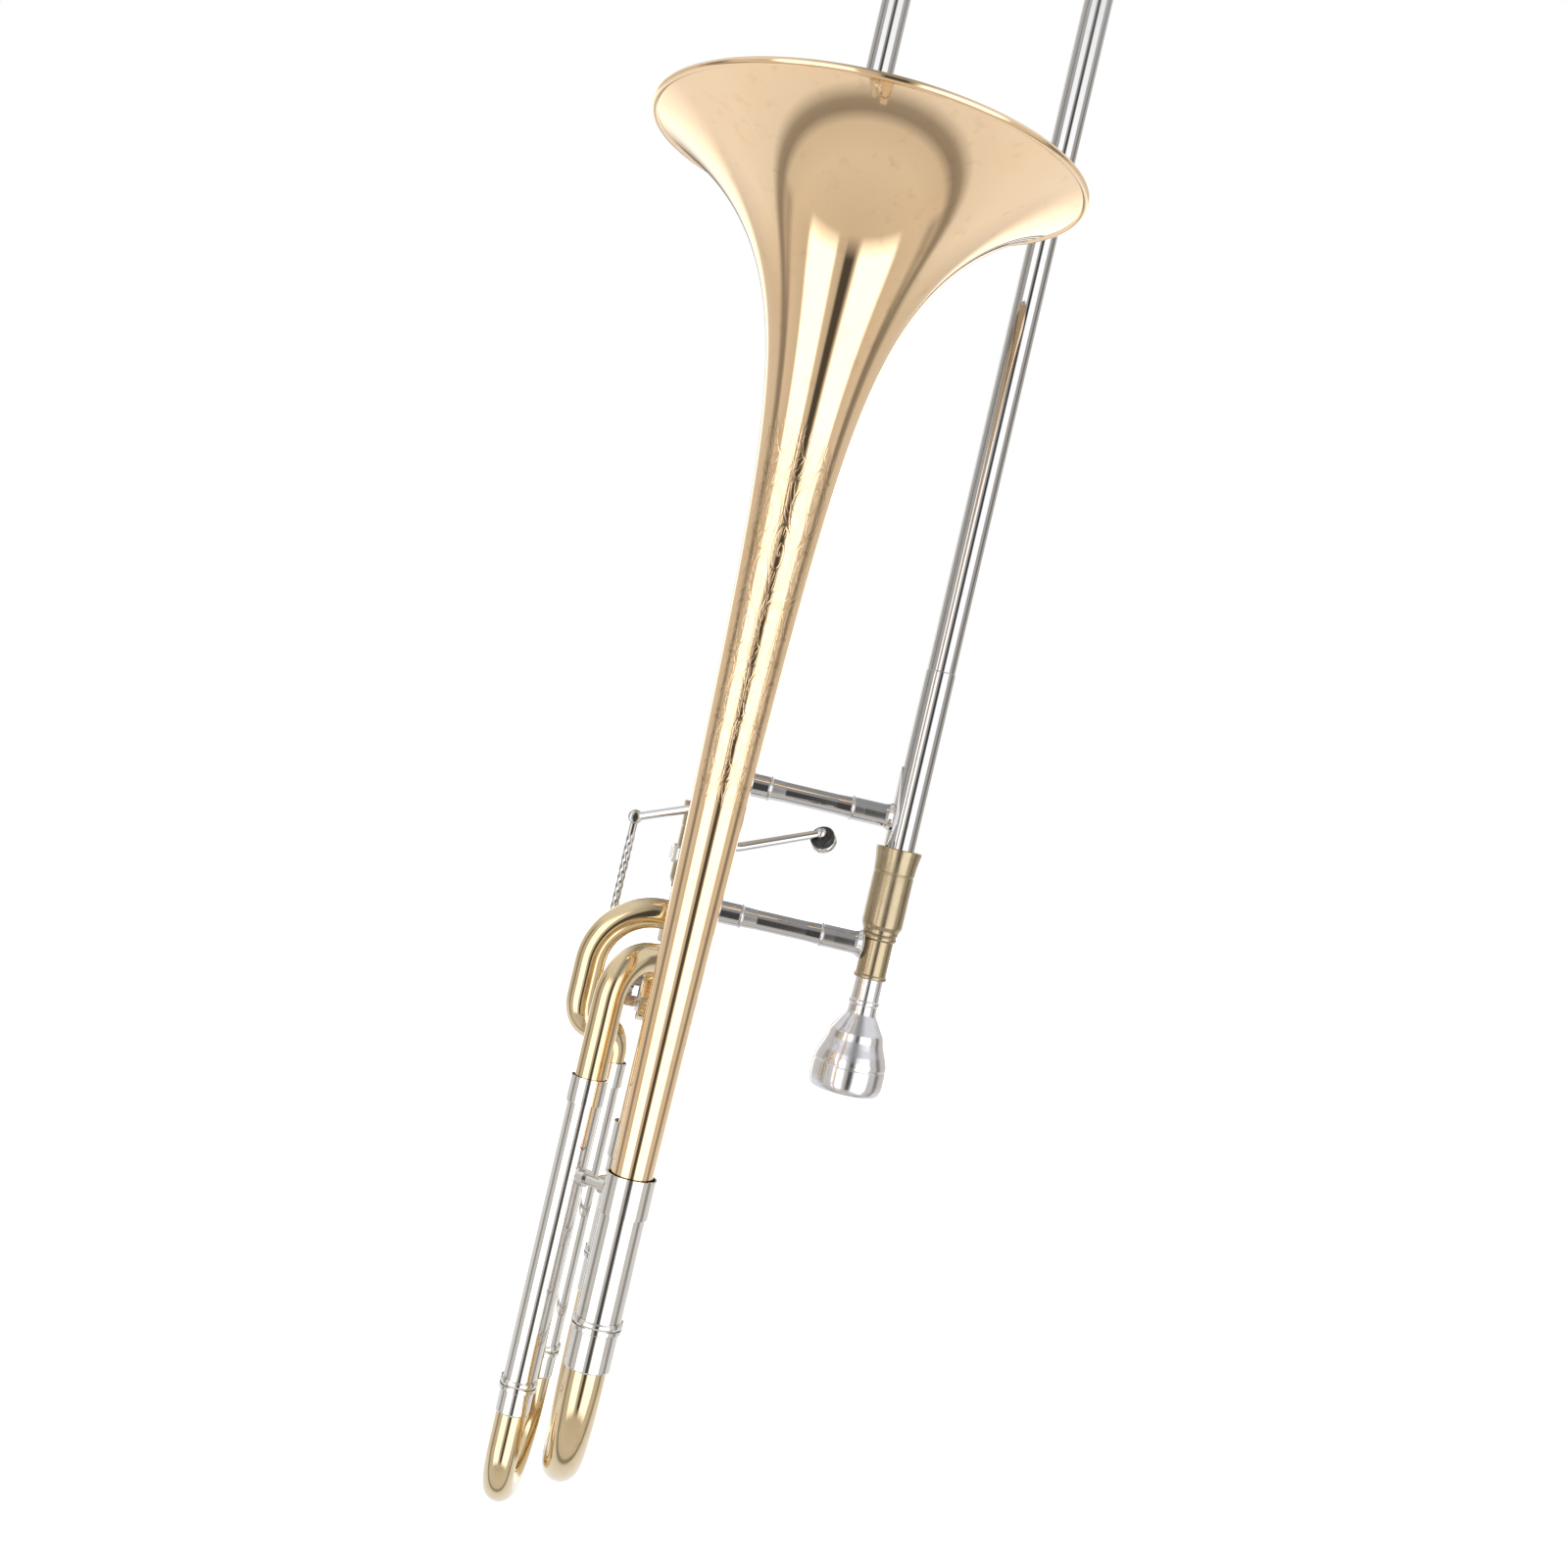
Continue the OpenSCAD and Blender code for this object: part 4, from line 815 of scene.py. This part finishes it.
class TROMBONE_OT_thumb_action(bpy.types.Operator):
    """Build the thumb lever, its round black touch and the twisted link rod"""

    bl_idname = "trombone.thumb_action"
    bl_label = "Thumb Action"

    def execute(self, context):
        pivot, joint, touch = mm(2, -28, 50), mm(-35, -6.76, 48.3), mm(58, -28, 57)
        self.lever(pivot, joint, touch)
        self.touch()
        self.link(joint)
        return {"FINISHED"}

    @staticmethod
    def lever(pivot, joint, touch):
        """Hub on the axle, one arm to the link rod and one to the touch."""
        outline = [(1.56, 0), (3.6, 0), (4.2, 0.8), (4.2, 2.4), (3.7, 3.0), (3.7, 11), (4.2, 11.6)]
        outline += [(4.2, 13.2), (3.6, 14), (1.56, 14)]
        hub = turned_ring(softened(mm(*outline), 0.3 * MM), pivot, (0, -1, 0), around=72)
        left = bent([pivot + mm(-3.2, -4, 1.2), mm(-4, -24, 61), joint + mm(0, -5, 0)], [7 * MM])
        right = bent([pivot + mm(3.3, -8, -0.6), mm(16, -34, 45), touch + mm(-0.4, -2.6, 5.0)], [8 * MM])
        parts = [hub, solid(left, 2.1 * MM), solid(right, np.linspace(2.3 * MM, 2.0 * MM, len(right)))]
        for start, end, radius in ((-8, -2.4, 3.2), (-3, 3, 1.5), (2.5, 3.6, 2.6)):
            parts.append(stud(joint + mm(0, start, 0), joint + mm(0, end, 0), radius * MM))
        parts.append(ball(right[-1], 2.9 * MM))
        piece("thumb_lever_forged", parts, "lever", ("thumb_lever",), "bright_plate")

    @staticmethod
    def touch():
        """Black disc with a plated cap behind it, turned about an axis that leans to the thumb's side."""
        low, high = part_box("thumb_knob")
        middle, lean = (low + high) / 2, np.array([0.46, 0.70, -0.55])
        lean = lean / np.linalg.norm(lean)
        outline = [(0.3, -3.2), (4.4, -3.2), (5.6, -2.8), (6.3, -1.8), (6.3, 0.0), (6.0, 0.7), (5.2, 1.0)]
        outline = softened(mm(*outline, (0.3, 1.0)), 0.6 * MM, closed=False)
        disc = turned_ring(outline, middle, lean, around=72, closed=False)
        piece("thumb_touch", [disc], "lever", ("thumb_knob",), "black_knob")
        outline = [(0.3, 0.8), (5.2, 0.8), (6.2, 1.2), (6.5, 2.0), (6.5, 3.4), (6.2, 4.2), (5.2, 4.8)]
        outline = softened(mm(*outline, (2.4, 5.1), (0.3, 5.2)), 0.5 * MM, closed=False)
        cap = turned_ring(outline, middle, lean, around=72, closed=False)
        piece("thumb_touch_cap", [cap], "lever", (), "bright_plate")

    @staticmethod
    def link(joint):
        """Square rod twisted three and a half turns, between two eyes.

        Its section is r(a) = 0.92 / (|cos a|^3 + |sin a|^3)^(1/3)."""
        foot = np.array([joint[0], joint[1], span("link_rod", 2)[0] + 5 * MM])
        drop = joint[2] - foot[2]
        z = np.linspace(3.3 * MM, drop - 4.4 * MM, 180)
        route = joint - np.stack([0 * z, 0 * z, z], -1)
        twisted = np.clip((z - 9 * MM) / (drop - 19 * MM), 0, 1)
        square = lambda a: 0.92 / (np.abs(np.cos(a)) ** 3 + np.abs(np.sin(a)) ** 3) ** (1 / 3)
        shank = solid(route, 2.0 * MM, around=48, turn=twisted * TAU * 3.5, shape=square)
        eye = softened(mm((1.56, -2), (3.0, -2), (3.6, -1.4), (3.6, 1.4), (3.0, 2), (1.56, 2)), 0.3 * MM)
        eye = turned_ring(eye, joint, (0, 1, 0), around=48)
        lower = softened(mm((3.4, -2), (4.5, -2), (5, -1.4), (5, 1.4), (4.5, 2), (3.4, 2)), 0.3 * MM)
        lower = turned_ring(lower, foot, (1, 0, 0), around=48)
        piece("link_rod_twisted", [shank, eye, lower], "link", ("link_rod",), "bright_plate", "tube_plate")


# ---------- studio ----------


def filled_ramp(n, factor, stops):
    """Colour that a factor from 0 to 1 picks from stops of (place, colour)."""
    ramp = n.add("ShaderNodeValToRGB")
    n.join(factor, ramp.inputs[0])
    elements = ramp.color_ramp.elements
    for at, _ in stops[1:-1]:
        elements.new(at)
    for element, (at, colour) in zip(elements, stops):
        element.position, element.color = at, colour
    return ramp.outputs[0]


class TROMBONE_OT_stage(bpy.types.Operator):
    """Build the floor, the light and the camera"""

    bl_idname = "trombone.stage"
    bl_label = "Stage"

    def execute(self, context):
        self.floor(context)
        self.light(context)
        self.camera(context)
        return {"FINISHED"}

    @staticmethod
    def floor(context):
        """Pale disc below the instrument, low enough for the pulled tuning slides."""
        look = context.scene.trombone_look
        radius, drop, sides = 6, 100 * MM, 128
        mesh = bpy.data.meshes.new("floor")
        t = np.linspace(0, TAU, sides, endpoint=False)
        ring = np.stack([radius * np.cos(t), radius * np.sin(t), np.full(sides, cad_box[0][2] - drop)], -1)
        mesh.from_pydata(ring.tolist(), [], [list(range(sides))])
        floor = bpy.data.objects.new("floor", mesh)
        context.scene.collection.objects.link(floor)
        n = Nodes(bpy.data.materials.new("floor_pale"))
        pale = look.floor_colour[:]
        colour = n.mix(n.levels(n.noise(3.0, 4.0), 0.3, 0.7), pale, tinted(pale, 0.985))
        n.join(colour, n.shader.inputs["Base Color"])
        n.set(Roughness=0.9, Emission_Color=(1, 1, 1, 1), Emission_Strength=0.85)
        mesh.materials.append(n.owner)
        floor.visible_glossy = False

    @staticmethod
    def light(context):
        """Light as a function of direction, while the camera itself sees white.

        Two bright panels in front with a narrow dark gap between them, a dark strip at each side, grey
        elsewhere and a warm floor below."""
        world = bpy.data.worlds.new("studio")
        n = Nodes(world, "Background")
        split = n.add("ShaderNodeSeparateXYZ")
        n.join(n.add("ShaderNodeTexCoord").outputs["Generated"], split.inputs[0])
        x, y, z = split.outputs
        grey = lambda v: (v, v, v, 1)
        warm = lambda v: (v, v * 0.955, v * 0.885, 1) if v < 0.9 else grey(v)

        # places are the angle from the front as a share of half a turn, negative to the left
        left = [(-1.0, 0.06), (-0.965, 0.10), (-0.94, 0.42), (-0.91, 0.75), (-0.84, 0.75), (-0.80, 0.36)]
        left += [(-0.60, 0.34), (-0.545, 0.15), (-0.50, 0.14), (-0.46, 0.36), (-0.345, 0.32), (-0.32, 1.0)]
        left += [(-0.12, 1.0), (-0.10, 0.34), (-0.045, 0.30), (-0.025, 0.04)]
        right = [(0.035, 0.04), (0.06, 0.30), (0.085, 1.0), (0.315, 1.0), (0.345, 0.34), (0.46, 0.36)]
        right += [(0.50, 0.13), (0.56, 0.15), (0.61, 0.34), (0.80, 0.36), (0.84, 0.75), (0.91, 0.75)]
        right += [(0.94, 0.42), (0.965, 0.10), (1.0, 0.06)]
        turn = n.math("ARCTAN2", x, n.math("MULTIPLY", y, -1.0))
        stops = [(0.5 + at / 2, warm(value)) for at, value in left + right]
        level_light = filled_ramp(n, n.levels(turn, -math.pi, math.pi), stops)

        overhead = n.levels(n.math("ABSOLUTE", x), 0.08, 0.45, 0.17, 0.44)
        sky = n.mix(n.levels(z, 0.34, 0.55), level_light, overhead)

        near_floor = [(0.0, 0.30), (0.42, 0.37), (0.52, 0.34), (0.555, 0.15), (0.58, 0.17)]
        far_floor = [(0.62, 0.42), (0.75, 0.46), (1.0, 0.48)]
        stops = [(at, warm(v)) for at, v in near_floor] + [(at, grey(v)) for at, v in far_floor]
        below = filled_ramp(n, n.levels(y, -1.0, 1.0), stops)
        near = n.levels(z, -0.74, -0.62, 1.0, 0.0)
        far = n.math("MULTIPLY", n.levels(y, -0.1, 0.15), n.levels(z, -0.45, -0.12, 1.0, 0.0))
        sky = n.mix(n.math("MAXIMUM", near, far), sky, below)

        seen = n.add("ShaderNodeLightPath").outputs["Is Camera Ray"]
        strength = n.math("ADD", n.math("MULTIPLY", n.math("SUBTRACT", 1.0, seen), 2.0), seen)
        n.join(n.mix(seen, sky, (1.0, 1.0, 1.0)), n.shader.inputs["Color"])
        n.join(strength, n.shader.inputs["Strength"])
        context.scene.world = world
        context.scene.view_settings.view_transform = "Standard"

    @staticmethod
    def camera(context):
        """Camera square to the instrument's axis, a little left of the front.

        It is rolled so that the instrument's far end leans to the right."""
        turn, roll = math.radians(-4.6), math.radians(13.2)
        distance, aside, height = 0.939, 0.036, 0.082
        data = bpy.data.cameras.new("camera")
        data.sensor_width, data.lens = 36.0, 41.625
        data.clip_start, data.clip_end = 0.01, 50.0
        back = Vector((math.sin(turn), -math.cos(turn), 0))
        right = Vector((math.cos(turn), math.sin(turn), 0))
        at = right * aside + Vector((0, 0, height)) + back * distance
        cam = bpy.data.objects.new("camera", data)
        axes = Matrix((right, Vector((0, 0, 1)), back)).transposed()
        cam.matrix_world = Matrix.Translation(at) @ axes.to_4x4() @ Matrix.Rotation(roll, 4, "Z")
        context.scene.collection.objects.link(cam)
        context.scene.camera = cam


STEPS = (
    TROMBONE_OT_finish_frame,
    TROMBONE_OT_bell,
    TROMBONE_OT_bows,
    TROMBONE_OT_crooks,
    TROMBONE_OT_braces,
    TROMBONE_OT_barrels,
    TROMBONE_OT_mouthpiece,
    TROMBONE_OT_thumb_action,
    TROMBONE_OT_stage,
)


class TROMBONE_PT_panel(bpy.types.Panel):
    """Sizes, colours and building steps of the trombone"""

    bl_label = "Trombone"
    bl_idname = "TROMBONE_PT_panel"
    bl_space_type = "VIEW_3D"
    bl_region_type = "UI"
    bl_category = "Trombone"

    def draw(self, context):
        """Settings first, then a button for each step."""
        for group in (context.scene.trombone_shape, context.scene.trombone_look):
            for name in group.bl_rna.properties.keys():
                if name not in ("rna_type", "name"):
                    self.layout.prop(group, name)
        for step in STEPS:
            self.layout.operator(step.bl_idname)


CLASSES = (TromboneShape, TromboneLook, *STEPS, TROMBONE_PT_panel)


def register():
    """Adds the classes and their settings to Blender."""
    for cls in CLASSES:
        bpy.utils.register_class(cls)
    bpy.types.Scene.trombone_shape = bpy.props.PointerProperty(type=TromboneShape)
    bpy.types.Scene.trombone_look = bpy.props.PointerProperty(type=TromboneLook)


def unregister():
    """Takes them away again."""
    del bpy.types.Scene.trombone_look
    del bpy.types.Scene.trombone_shape
    for cls in reversed(CLASSES):
        bpy.utils.unregister_class(cls)


def main():
    """Runs every step in order."""
    register()
    for step in STEPS:
        group, name = step.bl_idname.split(".")
        getattr(getattr(bpy.ops, group), name)()


if __name__ == "__main__":
    main()
